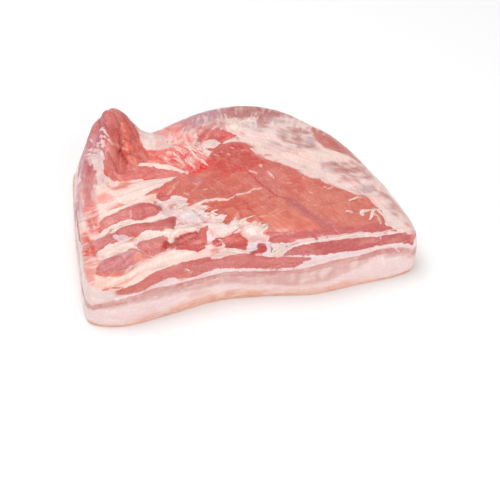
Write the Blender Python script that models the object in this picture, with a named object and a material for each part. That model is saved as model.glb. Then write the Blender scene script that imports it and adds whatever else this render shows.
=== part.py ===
"""Pork belly slab: a rind-on slab with a folded-up rear corner, built as one closed solid."""

import bmesh
import bpy
import numpy as np

MM = 0.001

# Plan of the flat underside in millimetres: +X along the long front cut, +Y to the back.
FRONT_CUT = [(-138, -116), (-113, -125), (-77, -120), (-32, -112), (10, -117), (46, -124),
             (85, -121), (116, -119)]
RIGHT_SIDE = [(136, -112), (141, -92), (139, -55), (133, -12), (124, 34), (112, 70)]
BACK_SIDE = [(94, 99), (67, 116), (34, 120), (3, 114), (-27, 101), (-50, 92), (-70, 103),
             (-92, 112)]
LEFT_SIDE = [(-113, 106), (-120, 82), (-126, 42), (-132, 0), (-137, -55), (-141, -96)]

COLUMNS = 50  # steps along the front cut
ROWS = 44  # steps from the front to the back
FOOT_STEPS = 2  # steps round the lower edge
WALL_STEPS = 3
BROW_STEPS = 3  # steps round the upper edge
SPAN_STEPS = 24  # fine steps between two points of the plan
CORNER_PASSES = 100  # how gently the edges' inset turns round a corner

FOOT_RADIUS = 3.0
CUT_RADIUS = 3.5  # the knife cut keeps a crisp upper edge
LEFT_RADIUS = 7.0
ROLLED_RADIUS = 16.0  # the right and rear edges are rolled over

# The body's thickness and how it swells and falls away, in millimetres.
THICKNESS = 50.0
FRONT_SWELL = 5.0
LEFT_FALL = 9.0
RIGHT_FALL = 6.0
CORNER_FALL = 8.5
REAR_SWELL = 3.0
PEAK_AT = (-84.0, 84.0)
PEAK_REACH = 26.0
PEAK_LEFT_REACH = 13.0
PEAK_RISE = 23.0
FOLD_LEAN = 16.0
SADDLE_AT = (-53.0, 92.0)
SADDLE_WIDTH = (11.0, 26.0)
SADDLE_DROP = 3.5

# Long swellings and grooves of the upper face: both ends in plan, reach and rise.
RIDGES = [
    (-86, 76, -112, 0, 20, 6.0),  # the fold's spur down the left edge
    (-106, 98, -94, 100, 17, -12.0),  # the corner falls away behind the fold
    (-72, 62, -78, 30, 8, 3.0),  # flap on the fold's right face
    (-80, 52, -84, 26, 8, -4.0),  # crevice beside the flap
    (-111, -41, -66, -38, 12, 3.2),  # upper rib strip
    (-65, -35, -60, -45, 9, -3.2),  # pocket at the upper strip's end
    (-124, -68, -110, -74, 9, 2.6),  # middle rib strip, left piece
    (-106, -60, -66, -73, 10, 2.8),  # middle rib strip, right piece
    (-124, -97, -95, -101, 10, 2.6),  # lower rib strip, left piece
    (-94, -88, -70, -96, 9, 2.2),  # lower rib strip, right piece
    (-128, -54, -66, -55, 6, -1.6),  # seam between the upper and middle strips
    (-128, -84, -72, -83, 5, 1.4),  # fat ridge between the middle and lower strips
    (-66, -80, -40, -87, 9, 2.8),  # torn fat lump
    (-64, -93, -36, -100, 8, -2.6),  # crevice under the lump
    (-10, -95, 10, -100, 9, 1.8),  # fat flake at the front
    (-112, -8, -52, -12, 14, 1.8),  # broad fat band below the fold
    (-98, 6, -46, 8, 8, -1.8),  # lean groove above that band
    (-28, 60, 16, 56, 14, -2.2),  # hollow in the red lean
    (20, 66, 58, 52, 12, 2.0),  # fat swelling behind the sheet
    (70, 20, 112, -40, 14, 1.8),  # fat swelling beside the sheet
    (36, -22, 66, -98, 16, -1.8),  # dished middle of the sheet
]


def eased(value):
    """A smooth step from 0 to 1."""
    held = np.clip(value, 0.0, 1.0)
    return held * held * (3.0 - 2.0 * held)


def bell(x, y, centre, width):
    return np.exp(-(((x - centre[0]) / width[0]) ** 2) - ((y - centre[1]) / width[1]) ** 2)


def off_line(x, y, ax, ay, bx, by):
    """Distance in plan from the line between two points."""
    along_x = bx - ax
    along_y = by - ay
    part = ((x - ax) * along_x + (y - ay) * along_y) / (along_x**2 + along_y**2)
    part = np.clip(part, 0.0, 1.0)
    return np.hypot(x - ax - part * along_x, y - ay - part * along_y)


def height(x, y):
    """Height of the upper face over the underside, in millimetres."""
    top = THICKNESS + FRONT_SWELL * bell(x, y, (-5.0, -112.0), (70.0, 55.0))
    top = top - LEFT_FALL * eased((-x - 88.0) / 46.0) * eased((25.0 - y) / 90.0)
    top = top - RIGHT_FALL * eased((x - 66.0) / 60.0)
    top = top - CORNER_FALL * bell(x, y, (100.0, 92.0), (42.0, 42.0))
    top = top + REAR_SWELL * bell(x, y, (18.0, 78.0), (55.0, 26.0))
    reach = np.where(x < PEAK_AT[0], PEAK_LEFT_REACH, PEAK_REACH)
    top = top + PEAK_RISE * bell(x, y, PEAK_AT, (reach, PEAK_REACH))
    top = top - SADDLE_DROP * bell(x, y, SADDLE_AT, SADDLE_WIDTH)
    for ax, ay, bx, by, reach, rise in RIDGES:
        top = top + rise * eased(1.0 - off_line(x, y, ax, ay, bx, by) / reach)
    return top


def smooth_loop(points):
    """A closed smooth curve through the points, SPAN_STEPS positions to each span."""
    ends = np.array(points, float)
    before = np.roll(ends, 1, axis=0)
    after = np.roll(ends, -1, axis=0)
    beyond = np.roll(ends, -2, axis=0)
    curve = []
    for a, b, c, d in zip(before, ends, after, beyond):
        for step in range(SPAN_STEPS):
            t = step / SPAN_STEPS
            curve.append(
                0.5 * (2 * b + (c - a) * t + (2 * a - 5 * b + 4 * c - d) * t**2
                       + (3 * b - a - 3 * c + d) * t**3)
            )
    return np.array(curve)


def inward_directions(curve):
    """Inward directions along the closed curve, turned gently round its corners."""
    along = np.roll(curve, -1, axis=0) - np.roll(curve, 1, axis=0)
    along = along / np.hypot(*along.T)[:, None]
    inward = np.stack([-along[:, 1], along[:, 0]], 1)
    for _ in range(CORNER_PASSES):
        inward = (np.roll(inward, 1, axis=0) + inward + np.roll(inward, -1, axis=0)) / 3.0
    return inward / np.hypot(*inward.T)[:, None]


def evenly(curve, steps):
    """Rows at even lengths along an open run of the curve."""
    lengths = np.hypot(*np.diff(curve[:, :2], axis=0).T)
    travelled = np.concatenate([[0.0], np.cumsum(lengths)])
    wanted = np.linspace(0.0, travelled[-1], steps + 1)
    return np.stack([np.interp(wanted, travelled, column) for column in curve.T], 1)


def plan_ring(columns, rows):
    """The plan as one ring that runs front, right, back, left, with its inward directions."""
    sides = [FRONT_CUT, RIGHT_SIDE, BACK_SIDE, LEFT_SIDE]
    curve = smooth_loop([point for side in sides for point in side])
    curve = np.column_stack([curve, inward_directions(curve)])
    closed = np.concatenate([curve, curve[:1]])
    ring = []
    start = 0
    for side, steps in zip(sides, (columns, rows, columns, rows)):
        end = start + len(side) * SPAN_STEPS
        ring.append(evenly(closed[start:end + 1], steps)[:-1])
        start = end
    ring = np.concatenate(ring)
    return ring[:, :2], ring[:, 2:]


def edge_sizes(ring):
    """Inward lean, outward swell, the upper edge's radius and the fold's share, all round."""
    x, y = ring.T
    right = eased((x - 92.0) / 34.0) * eased((y + 119.0) / 24.0)
    back = eased((y - 48.0) / 36.0)
    left = eased((-x - 104.0) / 20.0) * (1.0 - back)
    rolled = np.maximum(right, back)
    lean = 3.0 + 2.0 * back + 4.0 * left * eased((y + 40.0) / 80.0)
    fold = bell(x, y, (-120.0, 96.0), (36.0, 46.0))
    swell = (1.5 + 2.5 * rolled) * (1.0 - fold)
    radius = CUT_RADIUS + (ROLLED_RADIUS - CUT_RADIUS) * rolled
    radius = radius + (LEFT_RADIUS - CUT_RADIUS) * left
    radius = radius * (1.0 - 0.55 * fold)
    return lean, swell, radius, fold


def wall_rings(ring, inward, foot_steps, wall_steps, brow_steps):
    """Rings of points from the underside's border up to the upper face's border."""
    lean, swell, radius, fold = edge_sizes(ring)
    folded = np.column_stack([FOLD_LEAN * fold, 0.0 * fold])
    border = ring + inward * (lean + radius)[:, None] + folded
    crown = height(border[:, 0], border[:, 1])
    levels = []
    for step in range(foot_steps):
        turn = 0.5 * np.pi * step / foot_steps
        rise = FOOT_RADIUS * (1.0 - np.cos(turn)) + 0.0 * crown
        levels.append((rise, FOOT_RADIUS * (1.0 - np.sin(turn)) + 0.0 * crown))
    for step in range(wall_steps):
        rise = FOOT_RADIUS + (crown - radius - FOOT_RADIUS) * step / wall_steps
        levels.append((rise, 0.0 * crown))
    for step in range(brow_steps + 1):
        turn = 0.5 * np.pi * step / brow_steps
        rise = crown - radius * (1.0 - np.sin(turn))
        levels.append((rise, radius * (1.0 - np.cos(turn))))
    rings = []
    for rise, set_in in levels:
        part = rise / crown
        shift = set_in + lean * part - swell * 4.0 * part * (1.0 - part)
        plan = ring + inward * shift[:, None] + folded * part[:, None]
        rings.append(np.column_stack([plan, rise]))
    return rings


def upper_face(border, columns, rows):
    """The upper face's points, blended between its four border runs."""
    front = border[:columns + 1]
    right = border[columns:columns + rows + 1]
    back = border[columns + rows:2 * columns + rows + 1][::-1]
    left = np.concatenate([border[2 * columns + rows:], border[:1]])[::-1]
    s = np.linspace(0.0, 1.0, columns + 1)[:, None, None]
    t = np.linspace(0.0, 1.0, rows + 1)[None, :, None]
    between_cuts = (1.0 - t) * front[:, None] + t * back[:, None]
    between_sides = (1.0 - s) * left[None] + s * right[None]
    corners = (1.0 - s) * ((1.0 - t) * front[0] + t * back[0])
    corners = corners + s * ((1.0 - t) * front[-1] + t * back[-1])
    plan = between_cuts + between_sides - corners
    return np.dstack([plan, height(plan[:, :, 0], plan[:, :, 1])])


def slab_points(columns, rows, foot_steps, wall_steps, brow_steps):
    """Wall rings and upper face in millimetres, with the plan centred on the origin."""
    ring, inward = plan_ring(columns, rows)
    rings = wall_rings(ring, inward, foot_steps, wall_steps, brow_steps)
    top = upper_face(rings[-1][:, :2], columns, rows)
    stacked = np.concatenate(rings)
    middle = 0.5 * (stacked.min(0) + stacked.max(0))
    middle[2] = 0.0
    return [one - middle for one in rings], top - middle


def ring_index(column, row, columns, rows):
    """Place in the ring of a border point of the upper face."""
    if row == 0:
        return column
    if column == columns:
        return columns + row
    if row == rows:
        return columns + rows + (columns - column)
    return (2 * columns + rows + (rows - row)) % (2 * (columns + rows))


def build_slab():
    rings, top = slab_points(COLUMNS, ROWS, FOOT_STEPS, WALL_STEPS, BROW_STEPS)
    shell = bmesh.new()
    placed = [[shell.verts.new(point * MM) for point in ring] for ring in rings]
    count = len(placed[0])
    shell.faces.new(placed[0][::-1])
    for lower, upper in zip(placed, placed[1:]):
        for here in range(count):
            then = (here + 1) % count
            shell.faces.new([lower[here], lower[then], upper[then], upper[here]])
    grid = {}
    for column in range(COLUMNS + 1):
        for row in range(ROWS + 1):
            if column in (0, COLUMNS) or row in (0, ROWS):
                grid[column, row] = placed[-1][ring_index(column, row, COLUMNS, ROWS)]
            else:
                grid[column, row] = shell.verts.new(top[column, row] * MM)
    for column in range(COLUMNS):
        for row in range(ROWS):
            shell.faces.new([grid[column, row], grid[column + 1, row],
                             grid[column + 1, row + 1], grid[column, row + 1]])
    mesh = bpy.data.meshes.new("belly_slab")
    shell.to_mesh(mesh)
    shell.free()
    return bpy.data.objects.new("belly_slab", mesh)


for old in list(bpy.data.objects):
    bpy.data.objects.remove(old)

meat = bpy.data.materials.new("belly_meat")
meat.use_nodes = True
surface = meat.node_tree.nodes["Principled BSDF"]
surface.inputs["Base Color"].default_value = (0.72, 0.36, 0.31, 1.0)
surface.inputs["Roughness"].default_value = 0.45

home = bpy.data.collections.new("pork_belly_slab")
bpy.context.scene.collection.children.link(home)
slab = build_slab()
slab.data.materials.append(meat)
home.objects.link(slab)
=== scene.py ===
"""The dressed pork belly slab: layered meat, rind, torn membranes, and a plain studio round it."""

import bpy
import numpy as np
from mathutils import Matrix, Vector
from mathutils.bvhtree import BVHTree


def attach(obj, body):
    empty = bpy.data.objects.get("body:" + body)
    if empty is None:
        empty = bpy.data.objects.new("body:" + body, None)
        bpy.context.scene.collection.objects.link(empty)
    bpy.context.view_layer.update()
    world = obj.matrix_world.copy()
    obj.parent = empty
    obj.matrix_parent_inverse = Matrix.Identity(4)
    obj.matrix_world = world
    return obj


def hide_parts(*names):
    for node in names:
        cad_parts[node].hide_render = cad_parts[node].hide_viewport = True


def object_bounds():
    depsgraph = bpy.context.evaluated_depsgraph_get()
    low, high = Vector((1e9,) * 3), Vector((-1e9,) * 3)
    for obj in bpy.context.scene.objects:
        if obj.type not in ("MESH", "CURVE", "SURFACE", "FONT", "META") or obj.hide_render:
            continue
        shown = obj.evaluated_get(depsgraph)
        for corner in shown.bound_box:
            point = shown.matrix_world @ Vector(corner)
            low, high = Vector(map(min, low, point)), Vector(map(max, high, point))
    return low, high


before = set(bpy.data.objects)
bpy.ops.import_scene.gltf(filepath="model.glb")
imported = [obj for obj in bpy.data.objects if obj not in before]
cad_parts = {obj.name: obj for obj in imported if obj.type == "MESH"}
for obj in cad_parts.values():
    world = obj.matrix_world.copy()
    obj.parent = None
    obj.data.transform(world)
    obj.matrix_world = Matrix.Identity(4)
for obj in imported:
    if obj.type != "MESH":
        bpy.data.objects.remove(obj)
cad_box = [list(corner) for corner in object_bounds()]

MM = 0.001

# ---------------------------------------------------------------- the slab's form, as in the CAD

FRONT_CUT = [(-138, -116), (-113, -125), (-77, -120), (-32, -112), (10, -117), (46, -124),
             (85, -121), (116, -119)]
RIGHT_SIDE = [(136, -112), (141, -92), (139, -55), (133, -12), (124, 34), (112, 70)]
BACK_SIDE = [(94, 99), (67, 116), (34, 120), (3, 114), (-27, 101), (-50, 92), (-70, 103),
             (-92, 112)]
LEFT_SIDE = [(-113, 106), (-120, 82), (-126, 42), (-132, 0), (-137, -55), (-141, -96)]

COLUMNS = 236
ROWS = 204
FOOT_STEPS = 3
WALL_STEPS = 30
BROW_STEPS = 9
SPAN_STEPS = 24
CORNER_PASSES = 100

FOOT_RADIUS = 3.0
CUT_RADIUS = 3.5
LEFT_RADIUS = 7.0
ROLLED_RADIUS = 16.0

THICKNESS = 50.0
FRONT_SWELL = 5.0
LEFT_FALL = 9.0
RIGHT_FALL = 6.0
CORNER_FALL = 8.5
REAR_SWELL = 3.0
PEAK_AT = (-84.0, 84.0)
PEAK_REACH = 26.0
PEAK_LEFT_REACH = 13.0
PEAK_RISE = 23.0
FOLD_LEAN = 16.0
SADDLE_AT = (-53.0, 92.0)
SADDLE_WIDTH = (11.0, 26.0)
SADDLE_DROP = 3.5
RIND_DEPTH = 2.8

RIDGES = [
    (-86, 76, -112, 0, 20, 6.0),
    (-106, 98, -94, 100, 17, -12.0),
    (-72, 62, -78, 30, 8, 3.0),
    (-80, 52, -84, 26, 8, -4.0),
    (-111, -41, -66, -38, 12, 3.2),
    (-65, -35, -60, -45, 9, -3.2),
    (-124, -68, -110, -74, 9, 2.6),
    (-106, -60, -66, -73, 10, 2.8),
    (-124, -97, -95, -101, 10, 2.6),
    (-94, -88, -70, -96, 9, 2.2),
    (-128, -54, -66, -55, 6, -1.6),
    (-128, -84, -72, -83, 5, 1.4),
    (-66, -80, -40, -87, 9, 2.8),
    (-64, -93, -36, -100, 8, -2.6),
    (-10, -95, 10, -100, 9, 1.8),
    (-112, -8, -52, -12, 14, 1.8),
    (-98, 6, -46, 8, 8, -1.8),
    (-28, 60, 16, 56, 14, -2.2),
    (20, 66, 58, 52, 12, 2.0),
    (70, 20, 112, -40, 14, 1.8),
    (36, -22, 66, -98, 16, -1.8),
]


def eased(value):
    held = np.clip(value, 0.0, 1.0)
    return held * held * (3.0 - 2.0 * held)


def bell(x, y, centre, width):
    return np.exp(-(((x - centre[0]) / width[0]) ** 2) - ((y - centre[1]) / width[1]) ** 2)


def off_line(x, y, ax, ay, bx, by):
    along_x = bx - ax
    along_y = by - ay
    part = ((x - ax) * along_x + (y - ay) * along_y) / (along_x**2 + along_y**2)
    part = np.clip(part, 0.0, 1.0)
    return np.hypot(x - ax - part * along_x, y - ay - part * along_y)


def height(x, y):
    top = THICKNESS + FRONT_SWELL * bell(x, y, (-5.0, -112.0), (70.0, 55.0))
    top = top - LEFT_FALL * eased((-x - 88.0) / 46.0) * eased((25.0 - y) / 90.0)
    top = top - RIGHT_FALL * eased((x - 66.0) / 60.0)
    top = top - CORNER_FALL * bell(x, y, (100.0, 92.0), (42.0, 42.0))
    top = top + REAR_SWELL * bell(x, y, (18.0, 78.0), (55.0, 26.0))
    reach = np.where(x < PEAK_AT[0], PEAK_LEFT_REACH, PEAK_REACH)
    top = top + PEAK_RISE * bell(x, y, PEAK_AT, (reach, PEAK_REACH))
    top = top - SADDLE_DROP * bell(x, y, SADDLE_AT, SADDLE_WIDTH)
    for ax, ay, bx, by, reach, rise in RIDGES:
        top = top + rise * eased(1.0 - off_line(x, y, ax, ay, bx, by) / reach)
    return top


def smooth_loop(points):
    ends = np.array(points, float)
    before = np.roll(ends, 1, axis=0)
    after = np.roll(ends, -1, axis=0)
    beyond = np.roll(ends, -2, axis=0)
    curve = []
    for a, b, c, d in zip(before, ends, after, beyond):
        for step in range(SPAN_STEPS):
            t = step / SPAN_STEPS
            curve.append(
                0.5 * (2 * b + (c - a) * t + (2 * a - 5 * b + 4 * c - d) * t**2
                       + (3 * b - a - 3 * c + d) * t**3)
            )
    return np.array(curve)


def inward_directions(curve):
    along = np.roll(curve, -1, axis=0) - np.roll(curve, 1, axis=0)
    along = along / np.hypot(*along.T)[:, None]
    inward = np.stack([-along[:, 1], along[:, 0]], 1)
    for _ in range(CORNER_PASSES):
        inward = (np.roll(inward, 1, axis=0) + inward + np.roll(inward, -1, axis=0)) / 3.0
    return inward / np.hypot(*inward.T)[:, None]


def evenly(curve, steps):
    lengths = np.hypot(*np.diff(curve[:, :2], axis=0).T)
    travelled = np.concatenate([[0.0], np.cumsum(lengths)])
    wanted = np.linspace(0.0, travelled[-1], steps + 1)
    return np.stack([np.interp(wanted, travelled, column) for column in curve.T], 1)


def plan_ring(columns, rows):
    sides = [FRONT_CUT, RIGHT_SIDE, BACK_SIDE, LEFT_SIDE]
    curve = smooth_loop([point for side in sides for point in side])
    curve = np.column_stack([curve, inward_directions(curve)])
    closed = np.concatenate([curve, curve[:1]])
    ring = []
    start = 0
    for side, steps in zip(sides, (columns, rows, columns, rows)):
        end = start + len(side) * SPAN_STEPS
        ring.append(evenly(closed[start:end + 1], steps)[:-1])
        start = end
    ring = np.concatenate(ring)
    return ring[:, :2], ring[:, 2:]


def edge_sizes(ring):
    x, y = ring.T
    right = eased((x - 92.0) / 34.0) * eased((y + 119.0) / 24.0)
    back = eased((y - 48.0) / 36.0)
    left = eased((-x - 104.0) / 20.0) * (1.0 - back)
    rolled = np.maximum(right, back)
    lean = 3.0 + 2.0 * back + 4.0 * left * eased((y + 40.0) / 80.0)
    fold = bell(x, y, (-120.0, 96.0), (36.0, 46.0))
    swell = (1.5 + 2.5 * rolled) * (1.0 - fold)
    radius = CUT_RADIUS + (ROLLED_RADIUS - CUT_RADIUS) * rolled
    radius = radius + (LEFT_RADIUS - CUT_RADIUS) * left
    radius = radius * (1.0 - 0.55 * fold)
    return lean, swell, radius, fold


def wall_rings(ring, inward, foot_steps, wall_steps, brow_steps):
    lean, swell, radius, fold = edge_sizes(ring)
    folded = np.column_stack([FOLD_LEAN * fold, 0.0 * fold])
    border = ring + inward * (lean + radius)[:, None] + folded
    crown = height(border[:, 0], border[:, 1])
    levels = []
    for step in range(foot_steps):
        turn = 0.5 * np.pi * step / foot_steps
        rise = FOOT_RADIUS * (1.0 - np.cos(turn)) + 0.0 * crown
        levels.append((rise, FOOT_RADIUS * (1.0 - np.sin(turn)) + 0.0 * crown))
    for step in range(wall_steps):
        rise = FOOT_RADIUS + (crown - radius - FOOT_RADIUS) * step / wall_steps
        levels.append((rise, 0.0 * crown))
    for step in range(brow_steps + 1):
        turn = 0.5 * np.pi * step / brow_steps
        rise = crown - radius * (1.0 - np.sin(turn))
        levels.append((rise, radius * (1.0 - np.cos(turn))))
    rings = []
    for rise, set_in in levels:
        part = rise / crown
        shift = set_in + lean * part - swell * 4.0 * part * (1.0 - part)
        plan = ring + inward * shift[:, None] + folded * part[:, None]
        rings.append(np.column_stack([plan, rise]))
    return rings


def upper_face(border, columns, rows):
    front = border[:columns + 1]
    right = border[columns:columns + rows + 1]
    back = border[columns + rows:2 * columns + rows + 1][::-1]
    left = np.concatenate([border[2 * columns + rows:], border[:1]])[::-1]
    s = np.linspace(0.0, 1.0, columns + 1)[:, None, None]
    t = np.linspace(0.0, 1.0, rows + 1)[None, :, None]
    between_cuts = (1.0 - t) * front[:, None] + t * back[:, None]
    between_sides = (1.0 - s) * left[None] + s * right[None]
    corners = (1.0 - s) * ((1.0 - t) * front[0] + t * back[0])
    corners = corners + s * ((1.0 - t) * front[-1] + t * back[-1])
    plan = between_cuts + between_sides - corners
    return np.dstack([plan, height(plan[:, :, 0], plan[:, :, 1])])


def cad_middle():
    """The plan shift that centres the CAD solid, from its own coarse rings."""
    ring, inward = plan_ring(50, 44)
    stacked = np.concatenate(wall_rings(ring, inward, 2, 3, 3))
    middle = 0.5 * (stacked.min(0) + stacked.max(0))
    middle[2] = 0.0
    return middle


# ---------------------------------------------------------------------------- seeded noise


def scattered(cell, seed):
    mixed = (
        cell[..., 0] * 374761393 + cell[..., 1] * 668265263 + cell[..., 2] * 1274126177
        + seed * 362437
    ) & 0xFFFFFFFF
    mixed = ((mixed ^ (mixed >> 13)) * 1103515245) & 0xFFFFFFFF
    mixed = ((mixed ^ (mixed >> 15)) * 668265263) & 0xFFFFFFFF
    return ((mixed ^ (mixed >> 16)) & 0xFFFFFF) / 8388607.5 - 1.0


def noise(points, scale, seed):
    """Smooth noise from -1 to 1 whose lumps are about scale millimetres."""
    grid = np.asarray(points, float) / scale
    cell = np.floor(grid).astype(np.int64)
    share = grid - cell
    share = share * share * (3.0 - 2.0 * share)
    total = 0.0
    for corner in range(8):
        step = np.array([corner & 1, corner >> 1 & 1, corner >> 2 & 1])
        weight = np.prod(np.where(step, share, 1.0 - share), axis=-1)
        total = total + weight * scattered(cell + step, seed)
    return total


def layered_noise(points, scale, seed, layers=3):
    total = 0.0
    for layer in range(layers):
        total = total + noise(points, scale / 2**layer, seed + layer) / 2**layer
    return total / (2.0 - 0.5 ** (layers - 1))


def ridged(points, scale, seed):
    return 1.0 - 2.0 * np.abs(layered_noise(points, scale, seed, 2))


# ---------------------------------------------------------------------- the meat's flow

# Where the grain of the upper face runs: plan place and heading in degrees.
HEADINGS = [
    (0, -30, -70), (40, -60, -68), (80, -90, -62), (20, 20, -72), (50, -10, -66),
    (-30, -20, -40), (-90, -42, 2), (-60, -60, 6), (-120, -66, 8), (-85, -92, 4),
    (-110, -100, 20), (-60, -112, 8), (-100, -20, 12), (-70, 0, 18), (-78, 45, 100),
    (-70, 85, 110), (-105, 80, 60), (-110, 20, 75), (-35, 30, -62), (-20, 30, -75),
    (-45, 70, 70), (-20, 75, 60), (15, 95, 78), (60, 92, 68), (100, 70, 52),
    (40, 60, -30), (70, 35, -48), (95, 10, -60), (110, -30, -64), (122, -80, -72),
    (-45, -60, 20), (-25, -80, -30), (-10, -100, 10), (0, 55, 30), (60, -112, 4),
]


class Flow:
    """Streaks smeared along the meat's flow, on a fine grid over the upper face."""

    CELL = 0.8
    CORNER = (-152.0, -134.0)
    SIZE = (381, 336)

    def __init__(self):
        across, up = (np.arange(count) * self.CELL + low
                      for count, low in zip(self.SIZE, self.CORNER))
        self.x, self.y = np.meshgrid(across, up, indexing="ij")
        self.points = np.stack([self.x, self.y, 0 * self.x], -1)
        heading = np.zeros(self.SIZE, complex)
        for px, py, degrees in HEADINGS:
            near = 1.0 / (60.0 + (self.x - px) ** 2 + (self.y - py) ** 2) ** 2
            heading += near * np.exp(2j * np.radians(degrees))
        self.angle = 0.5 * np.angle(heading) + 0.22 * layered_noise(self.points, 22.0, 3)

    def at(self, x, y, field):
        """The field read between its grid points."""
        across = np.clip((x - self.CORNER[0]) / self.CELL, 0, self.SIZE[0] - 1.001)
        up = np.clip((y - self.CORNER[1]) / self.CELL, 0, self.SIZE[1] - 1.001)
        column = across.astype(int)
        row = up.astype(int)
        s = across - column
        t = up - row
        low = (1 - s) * field[column, row] + s * field[column + 1, row]
        high = (1 - s) * field[column, row + 1] + s * field[column + 1, row + 1]
        return (1 - t) * low + t * high

    def smear(self, size, reach, seed):
        """Noise of the given size drawn out along the flow, with unit spread."""
        source = layered_noise(self.points, size, seed, 2)
        total = source.copy()
        for heading in (1.0, -1.0):
            x = self.x.copy()
            y = self.y.copy()
            run = heading * np.cos(self.angle)
            climb = heading * np.sin(self.angle)
            for _ in range(int(reach / self.CELL)):
                x += self.CELL * run
                y += self.CELL * climb
                total += self.at(x, y, source)
        return total / total.std()


# ------------------------------------------------------------------------------- painting


WET_VEIL = 0.035  # the white that the wet surface reflects on top of its own colour


def shade(*rgb):
    """The surface colour, as linear light, that shows as an 8-bit display colour."""
    value = np.array(rgb, float) / 255.0
    light = np.where(value <= 0.04045, value / 12.92, ((value + 0.055) / 1.055) ** 2.4)
    return np.maximum(light - WET_VEIL, 0.012)


def span(value, low, high):
    return eased((value - low) / (high - low))


def signed_inside(x, y, outline):
    """Millimetres inside the outline, negative outside."""
    corners = np.array(outline, float)
    nearest = np.full(x.shape, 1e9)
    inside = np.zeros(x.shape, bool)
    for (ax, ay), (bx, by) in zip(corners, np.roll(corners, -1, axis=0)):
        nearest = np.minimum(nearest, off_line(x, y, ax, ay, bx, by))
        crosses = (ay > y) != (by > y)
        rise = by - ay if by != ay else 1e-9
        inside ^= crosses & (x < (bx - ax) * (y - ay) / rise + ax)
    return np.where(inside, nearest, -nearest)


def off_path(x, y, path):
    """Distance from an open path, and how far along it from 0 to 1."""
    nearest = np.full(x.shape, 1e9)
    along = np.zeros(x.shape)
    runs = len(path) - 1
    for index, ((ax, ay), (bx, by)) in enumerate(zip(path, path[1:])):
        dx = bx - ax
        dy = by - ay
        part = np.clip(((x - ax) * dx + (y - ay) * dy) / (dx * dx + dy * dy), 0.0, 1.0)
        away = np.hypot(x - ax - part * dx, y - ay - part * dy)
        closer = away < nearest
        nearest = np.where(closer, away, nearest)
        along = np.where(closer, (index + part) / runs, along)
    return nearest, along


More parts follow.
